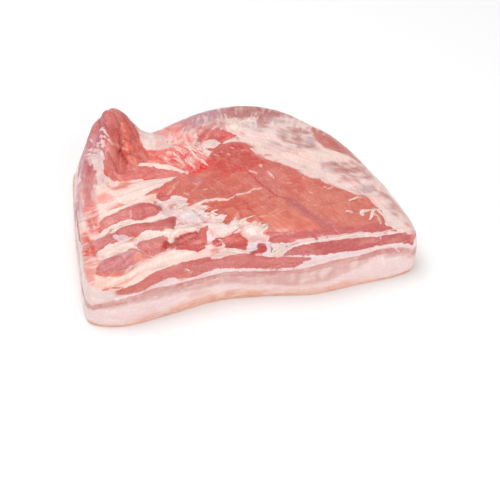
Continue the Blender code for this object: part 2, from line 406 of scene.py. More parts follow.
class Canvas:
    """Meat and fat painted over a flat chart of one face, in millimetres."""

    def __init__(self, x, y, broad, fine, blotch, fat, meat):
        self.x = x
        self.y = y
        self.broad = broad
        self.fine = fine
        self.blotch = blotch
        self.flesh = np.full(x.shape, -6.0)
        self.meat = np.tile(shade(*meat), (len(x), 1))
        self.fat = np.tile(shade(*fat), (len(x), 1))
        self.relief = np.zeros(x.shape)
        self.calm = 0.0

    def tint(self, held, colour, weight):
        weight = weight[:, None]
        held *= 1.0 - weight
        held += weight * shade(*colour)

    def deep(self, outline, fray):
        return signed_inside(self.x, self.y, outline) + fray * (
            0.6 * self.broad + 0.4 * self.fine
        )

    def lean(self, outline, colour, fray=0.8, rise=0.0, crease=0.0):
        """A patch of lean, standing up by rise with a crease round its edge."""
        deep = self.deep(outline, fray)
        self.flesh = np.maximum(self.flesh, np.minimum(deep, 6.0))
        self.tint(self.meat, colour, eased(deep / 1.5 + 1.2))
        self.relief += rise * eased(deep / 5.0) - crease * np.exp(-((deep / 1.3) ** 2))
        return deep

    def white(self, outline, colour, fray=0.8, rise=0.0):
        """A patch of fat or membrane over whatever is there."""
        deep = self.deep(outline, fray)
        self.flesh = np.minimum(self.flesh, np.maximum(-deep, -6.0))
        self.tint(self.fat, colour, eased(deep / 1.5 + 1.2))
        self.relief += rise * eased(deep / 3.0)
        return deep

    def stain(self, outline, colour, strength=0.8, soft=5.0, pattern=1.0):
        """A soft wash over lean and fat alike."""
        deep = signed_inside(self.x, self.y, outline)
        weight = strength * eased(deep / soft + 0.5) * pattern
        self.tint(self.meat, colour, weight)
        self.tint(self.fat, colour, weight)
        return weight

    def lean_line(self, path, width, colour):
        away, along = off_path(self.x, self.y, path)
        deep = 0.5 * width * (1.0 - 0.65 * along**3) - away + 0.3 * self.fine
        self.flesh = np.maximum(self.flesh, np.minimum(deep, 6.0))
        self.tint(self.meat, colour, eased(deep / 1.2 + 1.0))

    def white_line(self, path, width, colour, rise=0.35):
        away, along = off_path(self.x, self.y, path)
        deep = 0.5 * width * (1.0 - 0.65 * along**3) - away + 0.3 * self.fine
        self.flesh = np.minimum(self.flesh, np.maximum(-deep, -6.0))
        self.tint(self.fat, colour, eased(deep / 1.2 + 1.0))
        self.relief += rise * eased(deep / 1.2 + 0.8)

    def stain_line(self, path, width, colour, strength=0.8):
        away, _ = off_path(self.x, self.y, path)
        weight = strength * eased(1.3 - away / (0.5 * width))
        self.tint(self.meat, colour, weight)
        self.tint(self.fat, colour, weight)

    # A sunk line; a colour, where given, darkens the crease as painted shade over the flesh's own
    # tone there.
    def groove(self, path, width, depth, colour=None):
        away, _ = off_path(self.x, self.y, path)
        weight = eased(1.2 - away / (0.5 * width))
        self.relief -= depth * weight
        if colour is not None:
            self.tint(self.meat, colour, 0.8 * weight)
            self.tint(self.fat, colour, 0.8 * weight)

    def tint_spots(self, where, spots, reach):
        """Meat colour blended between named spots, inside where."""
        total = np.zeros((len(self.x), 3))
        weights = np.zeros(len(self.x))
        for sx, sy, colour in spots:
            near = np.exp(-((self.x - sx) ** 2 + (self.y - sy) ** 2) / reach**2) + 1e-9
            total += near[:, None] * shade(*colour)
            weights += near
        share = eased(where / 1.5 + 1.2)[:, None]
        self.meat = self.meat * (1.0 - share) + share * total / weights[:, None]

    def streaked(self, dark, pale):
        """Streaks all over: darker and paler fibres in lean, pink traces in fat."""
        lively = 1.0 - self.calm
        self.tint(self.meat, dark, 0.30 * lively * span(self.fine, 0.4, 1.8))
        self.tint(self.meat, dark, 0.26 * lively * span(self.broad, 0.3, 1.8))
        self.tint(self.meat, pale, 0.34 * lively * span(-self.fine, 0.5, 1.9))
        self.tint(self.meat, pale, 0.30 * lively * span(-self.broad, 0.6, 1.9))
        self.tint(self.fat, (222, 150, 143), 0.34 * span(self.broad, 0.5, 1.9))
        self.tint(self.fat, (228, 170, 163), 0.25 * span(self.fine, 0.5, 1.8))
        self.tint(self.fat, (255, 238, 230), 0.45 * span(-self.fine, 0.3, 1.6))


FAT = (243, 219, 211)
CREAM = (252, 223, 213)
PALE = (216, 176, 173)
MAUVE = (214, 122, 121)
BLOOD = (238, 50, 38)

SHEET = [(-75, -18), (-60, -10), (-51, -4), (-44, 3), (-38, 7), (-30, 8), (-20, 11),
         (-11, 22), (-5, 34), (2, 41), (10, 46), (20, 46), (28, 42), (33, 35), (33, 27),
         (36, 19), (40, 11), (49, 3), (57, -5), (63, -13), (63, -19), (69, -26), (77, -30),
         (81, -38), (87, -44), (93, -48), (99, -55), (104, -60), (109, -66), (113, -74),
         (115, -83), (114, -94), (111, -106), (90, -108), (60, -108), (30, -108), (9, -106),
         (7, -103), (10, -97), (5, -88), (1, -83), (-4, -79), (-10, -85), (-9, -78),
         (-13, -74), (-19, -80), (-21, -77), (-15, -67), (-23, -65), (-30, -60), (-31, -53),
         (-24, -46), (-36, -44), (-42, -48), (-42, -40), (-40, -33), (-44, -26), (-52, -22),
         (-56, -18), (-66, -19)]
SHEET_SPOTS = [(10, 32, (190, 46, 38)), (22, 36, (192, 62, 54)), (0, 15, (202, 58, 46)),
               (24, 14, (204, 72, 58)), (-25, -25, (204, 108, 96)), (-50, -14, (210, 106, 92)),
               (-15, -8, (207, 100, 86)), (36, -18, (208, 122, 114)), (58, -26, (206, 98, 84)),
               (0, -22, (212, 108, 94)), (0, -58, (212, 92, 72)), (-20, -55, (208, 96, 80)),
               (76, -36, (204, 96, 82)), (30, -95, (230, 128, 106)), (90, -60, (220, 130, 112)),
               (60, -60, (216, 128, 110)), (85, -95, (216, 124, 108)), (-34, -5, (216, 118, 102)),
               (20, -55, (220, 128, 110)), (104, -74, (214, 118, 104)), (-20, 2, (206, 96, 84)),
               (-40, -34, (216, 112, 98))]


def paint_rear(c):
    """Behind the sheet: cloudy fat over mauve flesh that shows more towards the rim."""
    behind = [(-20, 70), (0, 70), (20, 62), (32, 46), (36, 20), (52, 2), (66, -20), (90, -44),
              (106, -60), (114, -90), (150, -90), (150, 140), (-40, 140)]
    c.stain(behind, (243, 215, 208), 1.0, 3.0)
    cloud = 0.7 * c.blotch + 0.5 * c.broad
    rose = (190, 122, 120)
    grey = (199, 166, 170)
    for sx, sy, rx, ry, strength, colour in (
            (37, 76, 6, 10, 0.8, grey), (53, 74, 5, 11, 0.8, rose), (72, 78, 16, 6, 0.7, grey),
            (68, 50, 9, 12, 0.8, grey), (66, 40, 6, 14, 0.9, rose), (78, 44, 7, 15, 0.9, rose),
            (86, 56, 9, 8, 0.9, rose), (88, 34, 7, 13, 0.85, grey), (82, 22, 10, 8, 0.8, rose),
            (97, -7, 14, 7, 1.0, rose), (104, -17, 15, 8, 1.0, rose), (87, -14, 8, 7, 0.8, grey),
            (56, 36, 9, 8, 0.6, grey), (114, -48, 10, 6, 0.9, grey), (126, -58, 5, 10, 1.0, rose),
            (125, -84, 4, 12, 0.9, grey), (46, 62, 7, 9, 0.35, grey), (107, -32, 14, 4, 0.6, rose),
            (122, -28, 6, 12, 0.9, rose), (24, 60, 8, 4, 0.5, grey), (34, 66, 6, 4, 0.4, rose)):
        near = np.exp(-(((c.x - sx) / rx) ** 2) - ((c.y - sy) / ry) ** 2)
        c.tint(c.fat, colour, strength * span(near + 0.2 * cloud, 0.15, 0.85))
    rim = signed_inside(c.x, c.y, [(-24, 84), (-14, 76), (-2, 80), (8, 78), (18, 84), (30, 88),
                                   (36, 78), (44, 82), (54, 76), (62, 84), (78, 86), (92, 84),
                                   (104, 74), (112, 56), (160, 40), (160, 150), (-44, 150),
                                   (-34, 104)])
    blurred = rim + 2.0 * c.broad + 2.8 * c.blotch
    for held in (c.fat, c.meat):
        c.tint(held, (188, 116, 116), 0.97 * span(blurred, -9.0, 5.0))
        c.tint(held, (178, 104, 100), 0.7 * span(rim + 3.0 * c.fine, 4.0, 12.0)
               * span(c.x, 20.0, 60.0))
    veil = span(0.75 * c.broad + 0.5 * c.blotch - 0.03 * rim, -0.1, 1.6)
    c.stain([(-44, 140), (-24, 74), (20, 80), (44, 70), (96, 70), (140, 40), (150, 140)],
            (220, 172, 170), 0.3, 8.0, veil)
    c.stain([(-22, 96), (-14, 76), (0, 78), (16, 86), (26, 96), (30, 120), (-8, 120)],
            (194, 146, 160), 0.7, 9.0)
    c.stain([(24, 84), (34, 88), (36, 118), (26, 118)], (186, 106, 98), 0.65, 8.0)
    c.stain([(-28, 90), (-22, 80), (-10, 92), (-4, 112), (-16, 118)], (224, 136, 138), 0.6, 6.0)
    c.stain([(70, 96), (92, 92), (100, 84), (100, 110), (70, 120)], (196, 120, 112), 0.6, 8.0)
    edge = c.stain([(95, 66), (100, 70), (106, 62), (118, 48), (124, 20), (124, -6), (112, 6),
                    (104, 16), (98, 22), (93, 38), (96, 54)], (202, 124, 114), 0.95, 5.0,
                   span(c.blotch + c.broad, -2.6, -0.6))
    c.flesh = np.maximum(c.flesh, 6.0 * edge - 3.5)
    c.stain([(62, 62), (80, 68), (98, 78), (104, 74), (90, 66), (76, 60)], (246, 214, 202), 0.8,
            5.0, span(-c.broad, -1.8, 0.4))
    c.stain([(120, -10), (128, -30), (134, -70), (140, -108), (127, -108), (124, -60)],
            (214, 146, 136), 0.7, 6.0, span(c.blotch, -1.4, 0.8))
    c.stain([(96, -62), (112, -58), (118, -66), (112, -74), (104, -70)], (250, 196, 178), 0.6,
            6.0)
    # Cream ridges that run across to the right edge, with hollows between.
    for path in ([(92, 42), (104, 22), (116, 6)], [(60, 14), (84, 12), (106, 8), (118, 0)],
                 [(92, -30), (108, -32), (126, -40)], [(104, -62), (118, -64), (130, -74)]):
        away, _ = off_path(c.x, c.y, path)
        c.relief += 1.1 * eased(1.0 - away / 8.0)
    c.stain([(60, 20), (82, 20), (104, 18), (112, 4), (96, 2), (76, -4), (62, 0)],
            (249, 220, 208), 0.7, 6.0)
    for path in ([(100, 36), (112, 12)], [(90, -2), (108, -14)], [(98, -44), (122, -50)],
                 [(122, -80), (130, -96)]):
        c.groove(path, 8.0, 1.0)
    c.stain([(0, 72), (6, 80), (19, 84), (19, 62), (10, 68)], (206, 134, 136), 0.75, 4.0)
    c.white([(19, 60), (20, 70), (26, 82), (31, 78), (31, 64), (26, 57)], (251, 221, 209),
            0.6, 1.8)
    for path in ([(40, 60), (43, 72), (44, 82)], [(30, 72), (38, 78), (46, 76)],
                 [(45, 62), (48, 74), (49, 84)], [(34, 54), (42, 50)]):
        c.stain_line(path, 2.8, (246, 224, 216), 0.8)


def paint_sheet(c):
    """The smooth red-orange sheet, its seams and vein, and white flecks: scuffs and painted glints.
    """
    sheet = c.lean(SHEET, (212, 126, 112), 0.8)
    c.tint_spots(sheet, SHEET_SPOTS, 15.0)
    c.relief += 0.9 * eased(sheet / 2.5 + 0.5)
    inside = eased(sheet / 3.0)
    c.calm = 0.75 * inside
    # A thin pale film laps over its rear edge.
    rear = eased((c.y + 0.72 * c.x - 6.0) / 14.0) * np.exp(-((sheet / 2.6) ** 2))
    for held in (c.meat, c.fat):
        c.tint(held, (236, 172, 160), 0.7 * rear * span(c.blotch + c.fine, -1.8, 0.8))
    mottle = noise(np.stack([c.x, 0.7 * c.y, 0 * c.x], 1), 7.0, 121)
    c.tint(c.meat, (236, 158, 138), 0.42 * inside * span(mottle, 0.1, 1.2))
    c.tint(c.meat, (190, 84, 76), 0.42 * inside * span(-mottle, 0.1, 1.2))
    c.relief += 0.35 * inside * mottle
    c.tint(c.meat, (194, 98, 92), 0.32 * inside * span(c.blotch, 0.1, 1.7))
    c.tint(c.meat, (234, 154, 136), 0.35 * inside * span(-c.blotch, 0.2, 1.8))
    # Faint ripples across the fibres.
    across = -0.34 * c.x + 0.94 * c.y
    ripple = np.sin(across / 2.3 + 2.0 * c.blotch + 0.6 * c.broad)
    c.relief += 0.20 * inside * ripple
    c.tint(c.meat, (236, 158, 142), 0.20 * inside * span(ripple, 0.2, 1.0))
    # Where it thins over fat, and the soft mottled flesh behind its crest.
    c.stain([(18, 46), (30, 46), (36, 34), (34, 24), (26, 26), (22, 36)], (194, 116, 116), 0.7,
            5.0, span(c.blotch + c.fine, -1.5, 1.2))
    c.stain([(6, -92), (14, -94), (34, -97), (34, -107), (6, -107)], (240, 156, 138), 0.7, 7.0)
    c.stain([(18, -99), (28, -100), (28, -107), (18, -107)], (248, 200, 186), 0.7, 4.0)

    c.white_line([(-44, -54), (-38, -48), (-32, -43), (-26, -41)], 5.5, (248, 212, 200), 0.7)
    c.white_line([(-28, -42), (-20, -41), (-8, -43), (2, -38)], 3.0, (247, 208, 195), 0.6)
    c.white_line([(0, -39), (10, -37), (18, -33), (24, -33)], 1.9, (243, 198, 184), 0.4)
    c.stain_line([(-50, -42), (-40, -40), (-28, -37)], 4.0, (224, 144, 130), 0.5)
    c.stain_line([(8, -78), (18, -75), (30, -70)], 2.0, (242, 178, 160), 0.65)
    c.stain_line([(-54, -21), (-48, -12), (-42, -3)], 2.4, (240, 172, 158), 0.75)
    c.stain_line([(-42, -25), (-32, -21), (-26, -14), (-24, -8)], 2.2, (232, 168, 154), 0.6)
    c.stain_line([(-40, -4), (-34, -8)], 3.2, (236, 150, 130), 0.5)
    c.stain_line([(2, -8), (10, -3), (18, -6)], 1.6, (236, 172, 158), 0.5)
    c.stain_line([(40, -22), (50, -19)], 1.4, (238, 180, 164), 0.5)
    c.stain_line([(-6, -26), (-2, -36), (2, -44)], 1.8, (196, 88, 76), 0.45)
    # Sunk seams, their darker red partly the muscle's own and partly painted shade in the creases.
    for path in ([(-16, -58), (-12, -66), (-18, -78)], [(-30, -50), (-26, -56), (-28, -62)],
                 [(4, -46), (6, -58), (8, -70)], [(-4, -56), (-2, -68), (-6, -76)],
                 [(8, -74), (10, -82)]):
        c.groove(path, 3.2, 0.8, (198, 86, 70))
    c.stain([(-20, -70), (-14, -64), (-6, -62), (-4, -72), (-14, -76)], (226, 120, 98), 0.6,
            4.0)
    c.stain_line([(-3, 8), (0, 3), (2, -5), (1, -9)], 4.0, (224, 48, 42), 0.85)
    c.stain_line([(11, 6), (15, 1), (20, -3)], 3.2, (224, 50, 44), 0.85)
    c.stain_line([(-12, 4), (-6, 6)], 3.0, (226, 88, 78), 0.5)
    c.stain_line([(20, -6), (23, -12), (24, -20), (26, -30)], 3.4, (208, 58, 58), 0.8)
    c.stain_line([(28, -34), (31, -42), (35, -49)], 4.0, (202, 64, 68), 0.8)
    c.stain_line([(27, -50), (34, -48), (40, -51), (44, -53)], 2.8, (184, 26, 36), 0.95)
    c.stain([(37, -50), (46, -53), (51, -64), (55, -76), (60, -84), (65, -94), (68, -106),
             (55, -106), (52, -94), (46, -80), (40, -66)], (196, 108, 112), 0.9, 6.0)
    c.stain([(-32, 0), (-24, 0), (-18, -8), (-24, -12), (-30, -8)], (200, 140, 142), 0.6, 6.0)
    c.groove([(24, -14), (32, -40), (44, -60), (52, -76), (62, -98)], 5.0, 0.35)
    for sx, sy, size in ((-4, -22, 1.8), (12, -28, 1.8), (-14, -54, 2.2), (-2, -62, 2.0),
                         (6, -48, 1.8), (22, -44, 1.6), (60, -52, 1.6), (76, -62, 1.8),
                         (64, -78, 1.6), (90, -76, 2.0), (96, -72, 1.8), (84, -84, 1.6),
                         (38, -66, 1.6), (-42, -14, 2.0), (-50, -16, 1.8), (-36, -6, 1.6)):
        c.stain_line([(sx, sy), (sx + size, sy - 0.6 * size)], size, (176, 96, 92), 0.45)
    # Small white flecks on the sheet: partly scuffs, partly painted glints.
    for sx, sy, ex, ey, width in ((33, 4, 34, 2, 2.0), (36, -9, 39, -14, 2.2),
                                  (22, -4, 27, -8, 2.8), (38, -12, 39, -17, 1.2),
                                  (76, -43, 77, -44, 1.6), (78, -46, 82, -44, 1.6),
                                  (-30, -10, -26, -12, 1.2), (-24, -22, -20, -20, 1.2),
                                  (63, -26, 65, -30, 1.0), (2, -26, 3, -28, 1.0),
                                  (62, -48, 63, -51, 1.0), (48, -29, 51, -31, 1.0),
                                  (-40, -22, -38, -27, 1.3), (86, -84, 88, -86, 2.0),
                                  (60, -68, 64, -69, 1.0), (16, 38, 18, 36, 1.6),
                                  (24, 31, 26, 29, 1.4), (-2, 30, 1, 27, 1.6),
                                  (10, 28, 12, 26, 1.4), (4, 34, 6, 32, 1.2)):
        c.stain_line([(sx, sy), (ex, ey)], width, (252, 226, 216), 0.9)

    # Torn skin at the sheet's right end.
    for path, width in (([(95, -88), (98, -83), (104, -82), (113, -82)], 3.4),
                        ([(107, -83), (105, -87), (101, -94)], 3.2),
                        ([(104, -86), (107, -92), (109, -100), (106, -106)], 1.6),
                        ([(91, -67), (94, -65), (100, -62), (105, -64)], 2.0),
                        ([(83, -84), (87, -83), (89, -85)], 1.6),
                        ([(112, -84), (115, -92), (114, -102)], 1.6)):
        c.white_line(path, width, (244, 216, 208))
    c.stain([(96, -90), (102, -86), (110, -88), (112, -98), (106, -104), (98, -98)],
            (206, 116, 108), 0.5, 5.0)
    c.stain([(38, 22), (30, 21), (34, 18), (48, 16), (48, 19)], (226, 128, 112), 0.7, 2.5)
    c.stain([(44, 10), (50, 10), (50, 5), (44, 6)], (228, 130, 116), 0.6, 3.0)


def paint_torn(c):
    """Torn red flesh, a white knob and the blood-stained patch behind the sheet."""
    c.lean([(-11, 60), (-7, 67), (2, 71), (11, 69), (19, 61), (25, 55), (20, 52), (12, 50),
            (8, 46), (14, 42), (10, 34), (-4, 34), (-7, 42), (-8, 52)],
           (200, 100, 96), 1.2, 0.4)
    c.stain([(-12, 70), (-4, 78), (8, 76), (14, 68), (-2, 64)], (208, 122, 122), 0.8, 5.0)
    c.stain([(-6, 60), (-5, 68), (5, 68), (6, 60), (0, 58)], (204, 80, 76), 0.8, 4.0)
    c.stain([(11, 56), (12, 64), (18, 62), (20, 54), (15, 52)], (226, 62, 52), 0.85, 4.0)
    c.white([(-9, 50), (-7, 57), (0, 58), (7, 55), (9, 49), (5, 43), (0, 40), (-5, 42)],
            (240, 211, 205), 1.0, 1.0)
    c.stain([(-16, 58), (-12, 66), (-8, 62), (-8, 50), (-14, 46)], (204, 158, 156), 0.8, 4.0,
            span(c.broad, -1.2, 0.6))
    c.stain_line([(20, 52), (24, 54), (26, 52)], 2.4, (190, 92, 88), 0.7)
    c.stain([(-56, 90), (-54, 84), (-44, 70), (-40, 76), (-40, 100), (-56, 104)],
            (202, 146, 150), 0.85, 6.0)
    c.stain([(-44, 98), (-42, 74), (-34, 64), (-24, 66), (-18, 84), (-24, 100)],
            (238, 144, 140), 0.9, 6.0)
    c.stain([(-34, 68), (-20, 74), (-10, 66), (-14, 50), (-30, 52), (-42, 60)],
            (236, 168, 162), 0.9, 5.0)
    for path, width in (([(-24, 92), (-20, 86)], 5.0), ([(-24, 76), (-20, 80)], 4.0),
                        ([(-18, 70), (-17, 60)], 3.4), ([(-38, 62), (-28, 64), (-22, 68)], 2.6),
                        ([(-32, 84), (-28, 78)], 4.0), ([(-4, 74), (0, 76)], 3.6),
                        ([(-16, 84), (-8, 78)], 2.6), ([(-22, 60), (-20, 50)], 3.0)):
        c.stain_line(path, width, (232, 84, 78), 0.65)
    c.stain([(-64, 47), (-54, 54), (-40, 54), (-24, 60), (-12, 50), (-9, 38), (-6, 20),
             (-12, 8), (-28, 2), (-36, 8), (-46, 22), (-60, 32)],
            (243, 104, 88), 0.95, 6.0)
    c.stain([(-62, 52), (-54, 54), (-46, 48), (-44, 30), (-60, 32)], (244, 104, 90), 0.8, 4.0,
            span(c.broad, -1.2, 0.8))
    core = [(-42, 40), (-30, 46), (-14, 40), (-8, 22), (-12, 10), (-28, 3), (-36, 12),
            (-42, 28)]
    blood = c.stain(core, BLOOD, 0.95, 5.0, span(c.broad + 0.6 * c.fine, -1.8, 0.2))
    for path, width in (([(-36, 40), (-33, 28), (-27, 8)], 3.0), ([(-28, 40), (-24, 24), (-18, 12)],
                        2.6), ([(-22, 36), (-18, 28)], 3.0), ([(-16, 34), (-15, 24), (-11, 14)],
                        2.6), ([(-44, 36), (-40, 28), (-36, 18)], 2.6), ([(-30, 18), (-27, 6)],
                        3.2), ([(-20, 14), (-14, 10)], 3.0), ([(-52, 44), (-46, 34)], 3.6),
                        ([(-50, 54), (-52, 48)], 3.6)):
        c.stain_line(path, width, (226, 44, 38), 0.85)
        c.groove(path, width + 0.4, 1.1)
    for path, width in (([(-40, 46), (-34, 36), (-30, 26)], 2.4), ([(-26, 44), (-23, 32)], 2.4),
                        ([(-18, 46), (-14, 36), (-10, 30)], 3.4), ([(-24, 26), (-21, 14)], 2.2),
                        ([(-48, 42), (-42, 34)], 2.6), ([(-14, 26), (-12, 16)], 2.0),
                        ([(-12, 44), (-8, 36)], 3.0), ([(-20, 58), (-17, 46)], 2.6),
                        ([(-32, 52), (-29, 42)], 2.4)):
        c.white_line(path, 0.8 * width, (252, 202, 190), 0.9)
    c.stain(core, BLOOD, 0.7, 5.0, span(-c.fine, -1.4, 0.6))
    for path in ([(-31, 34), (-27, 22)], [(-25, 38), (-20, 24)], [(-18, 30), (-14, 18)],
                 [(-34, 26), (-29, 13)], [(-22, 22), (-16, 10)], [(-12, 34), (-9, 22)],
                 [(-40, 32), (-35, 20)], [(-28, 14), (-24, 6)]):
        c.stain_line(path, 1.5, (226, 24, 20), 0.9)
    for path in ([(-35, 34), (-31, 22)], [(-27, 30), (-22, 16)], [(-20, 38), (-16, 26)],
                 [(-30, 12), (-26, 4)], [(-14, 22), (-11, 14)]):
        c.white_line(path, 1.5, (255, 206, 192), 0.6)
    c.white([(-58, 54), (-61, 72), (-62, 86), (-60, 104), (-50, 90), (-44, 72), (-38, 62),
             (-36, 55), (-46, 52)], (233, 205, 198), 1.6, 0.4)
    c.stain([(-50, 64), (-40, 60), (-42, 54), (-54, 54)], (246, 190, 178), 0.7, 5.0)
    return blood


def paint_fold(c):
    """The folded corner: mauve outer face, red crest and the orange-red inner face."""
    c.lean([(-96, 140), (-66, 140), (-64, 100), (-62, 84), (-61, 70), (-59, 60), (-60, 54),
            (-92, 54), (-96, 66), (-94, 90)], (196, 90, 88), 1.2)
    c.stain([(-90, 140), (-80, 140), (-79, 90), (-80, 72), (-87, 66), (-90, 80)],
            (205, 128, 128), 0.8, 5.0, span(c.broad, -2.2, 0.2))
    c.stain([(-92, 96), (-86, 96), (-85, 84), (-90, 76)], (190, 92, 96), 0.7, 4.0)
    c.stain([(-66, 140), (-56, 140), (-56, 90), (-62, 70), (-68, 76)], (204, 98, 92), 0.7,
            5.0)
    c.lean([(-95, 60), (-70, 62), (-62, 60), (-58, 52), (-55, 40), (-62, 33), (-68, 32),
            (-62, 29), (-55, 24), (-54, 18), (-61, 12), (-76, 11), (-86, 10), (-98, 13),
            (-103, 17), (-101, 30), (-99, 40), (-97, 50)], (212, 118, 110), 1.0, 0.4)
    c.stain([(-100, 42), (-92, 60), (-83, 56), (-84, 30), (-100, 20)], (213, 126, 118), 0.75,
            6.0, span(c.broad, -2.2, 0.0))
    c.stain([(-70, 58), (-60, 56), (-55, 42), (-62, 34), (-70, 38)], (204, 84, 72), 0.85, 4.0,
            span(c.broad, -2.0, 0.2))
    c.stain([(-78, 48), (-70, 46), (-68, 32), (-78, 28)], (218, 112, 98), 0.7, 5.0)
    c.stain([(-102, 28), (-90, 26), (-84, 20), (-70, 28), (-56, 22), (-62, 12), (-86, 9),
             (-102, 14)], (219, 114, 112), 0.9, 5.0, span(c.broad, -2.2, 0.0))
    # Torn flaps out of the inner face, beside a crease whose dark red is flesh plus painted shade.
    for outline, colour, rise in (
            ([(-77, 70), (-75, 76), (-70, 78), (-67, 70), (-70, 61), (-76, 62)],
             (230, 110, 92), 1.6),
            ([(-79, 57), (-71, 59), (-67, 54), (-70, 47), (-77, 45), (-80, 51)],
             (228, 106, 84), 2.2),
            ([(-77, 43), (-70, 44), (-66, 38), (-70, 30), (-77, 33)], (230, 118, 96), 1.4),
            ([(-97, 54), (-88, 62), (-84, 54), (-86, 42), (-96, 40)], (215, 130, 122), 1.0)):
        deep = c.deep(outline, 0.5)
        c.relief += rise * eased(deep / 2.4 + 0.3)
        for held in (c.meat, c.fat):
            c.tint(held, colour, 0.85 * eased(deep / 1.5 + 0.4))
    # The grooves' dark colours are partly flesh and partly painted shade in the creases.
    c.groove([(-80, 68), (-79, 62), (-80, 58), (-78, 55), (-82, 53), (-81, 47), (-80, 40),
              (-79, 33)], 2.0, 1.5, (172, 40, 36))
    c.groove([(-79, 60), (-74, 60), (-69, 59)], 1.6, 1.2, (184, 56, 46))
    c.groove([(-78, 45), (-72, 45), (-68, 46)], 1.6, 1.0, (188, 64, 52))
    c.groove([(-66, 52), (-66, 42), (-62, 34)], 2.4, 1.4, (180, 62, 52))
    c.groove([(-70, 80), (-66, 72), (-64, 62)], 2.2, 0.9, (184, 78, 74))
    c.groove([(-93, 46), (-89, 36), (-87, 26)], 2.4, 0.8, (188, 94, 88))
    c.groove([(-94, 78), (-90, 72), (-88, 66)], 2.6, 1.2, (158, 84, 88))
    # Pale streaks of film; those along the flaps' edges are partly painted highlight.
    for path in ([(-89, 55), (-85, 57), (-82, 57)], [(-96, 47), (-93, 50)],
                 [(-75, 74), (-73, 66)], [(-78, 54), (-75, 48)], [(-74, 41), (-72, 34)],
                 [(-98, 34), (-95, 30), (-91, 30)], [(-92, 28), (-86, 24), (-80, 25)],
                 [(-62, 66), (-60, 60)], [(-96, 22), (-88, 18), (-80, 18)]):
        c.stain_line(path, 1.5, (242, 190, 178), 0.75)
    for path in ([(-62, 54), (-52, 46), (-46, 38)], [(-60, 36), (-50, 30), (-42, 24)],
                 [(-58, 46), (-50, 38)]):
        c.stain_line(path, 4.0, (238, 92, 78), 0.65)

    c.lean([(-72, 100), (-60, 104), (-52, 99), (-44, 130), (-72, 130)], (200, 116, 112), 1.4)
    speckle(c, [(-95, 62), (-64, 60), (-64, 108), (-94, 108)], 153, 0.5)
    c.relief -= 3.2 * bell(c.x, c.y, (-101.0, 89.0), (6.5, 14.0))
    # The fold's outer face: mauve, with pale skin torn off it in slanting shreds.
    c.lean([(-150, 130), (-100, 130), (-92, 96), (-92, 72), (-95, 60), (-99, 52), (-102, 46),
            (-108, 44), (-107, 30), (-108, 14), (-113, 4), (-118, -14), (-150, -14)],
           (197, 131, 140), 1.4)
    c.stain([(-104, 110), (-92, 96), (-90, 76), (-98, 74), (-106, 84), (-110, 100)],
            (198, 118, 118), 0.8, 7.0, span(c.broad, -2.0, 0.6))
    c.stain([(-113, 52), (-109, 44), (-109, 24), (-113, 18), (-116, 36)], (190, 100, 108), 0.75,
            4.0)
    c.white([(-110, 42), (-107, 52), (-102, 48), (-98, 42), (-100, 34), (-101, 26), (-103, 18),
             (-99, 12), (-96, 6), (-104, 2), (-112, 0), (-115, -12), (-118, -12), (-114, 8),
             (-108, 22), (-108, 32)], (231, 202, 198), 1.3, 0.4)
    c.stain([(-112, 62), (-107, 66), (-98, 56), (-94, 46), (-102, 30), (-110, 34), (-112, 48)],
            (224, 196, 200), 0.7, 5.0, span(c.broad + 0.7 * c.fine, -1.2, 0.5))
    for sx, sy, ex, ey, width in (
            (-95, 74, -88, 62, 1.6), (-95, 68, -89, 56, 1.4), (-105, 72, -98, 57, 1.3),
            (-99, 64, -94, 53, 1.2), (-108, 64, -101, 50, 1.2), (-110, 58, -102, 43, 1.4),
            (-111, 51, -103, 37, 1.3), (-105, 62, -100, 52, 0.9), (-110, 44, -103, 31, 1.3)):
        c.white_line([(sx, sy), (0.5 * (sx + ex) + 0.8, 0.5 * (sy + ey) + 1.0), (ex, ey)], width,
                     (232, 206, 206), 0.3)
    c.white([(-122, 60), (-118, 54), (-119, 34), (-122, 8), (-126, -16), (-128, -30),
             (-131, -30), (-129, 0), (-126, 30), (-124, 50)], (232, 210, 215), 0.9, 0.3)
    c.stain([(-128, 30), (-124, 24), (-127, -4), (-132, -30), (-134, -26), (-130, 10)],
            (208, 172, 180), 0.7, 2.5)
    c.stain([(-120, 56), (-113, 60), (-112, 40), (-116, 16), (-121, -6), (-120, 20)],
            (206, 146, 152), 0.6, 3.0)
    c.stain([(-118, 14), (-112, 16), (-112, 2), (-116, -14), (-122, -26), (-122, -8)],
            (206, 132, 134), 0.85, 3.0)
    c.stain_line([(-109, 22), (-111, 8), (-114, -8)], 2.2, (200, 88, 84), 0.7)
    c.stain_line([(-103, 24), (-101, 18), (-98, 14)], 2.6, (206, 84, 80), 0.7)


def speckle(c, outline, seed, strength=0.55):
    """Pale and dark flecks of fibre ends over a lean patch."""
    inside = strength * eased(signed_inside(c.x, c.y, outline) / 3.0 + 0.4)
    flat = np.stack([c.x, c.y, 0 * c.x], 1)
    coarse = noise(flat, 4.2, seed)
    grains = noise(flat, 1.9, seed + 1)
    c.tint(c.meat, (228, 164, 160), 0.8 * inside * span(0.6 * coarse + 0.7 * grains, 0.4, 1.3))
    c.tint(c.meat, (186, 88, 94), 0.8 * inside * span(-0.7 * coarse - 0.5 * grains, 0.3, 1.2))
    c.tint(c.meat, (246, 212, 206), inside * span(grains, 1.2, 1.7))
    c.relief += 0.22 * inside * grains


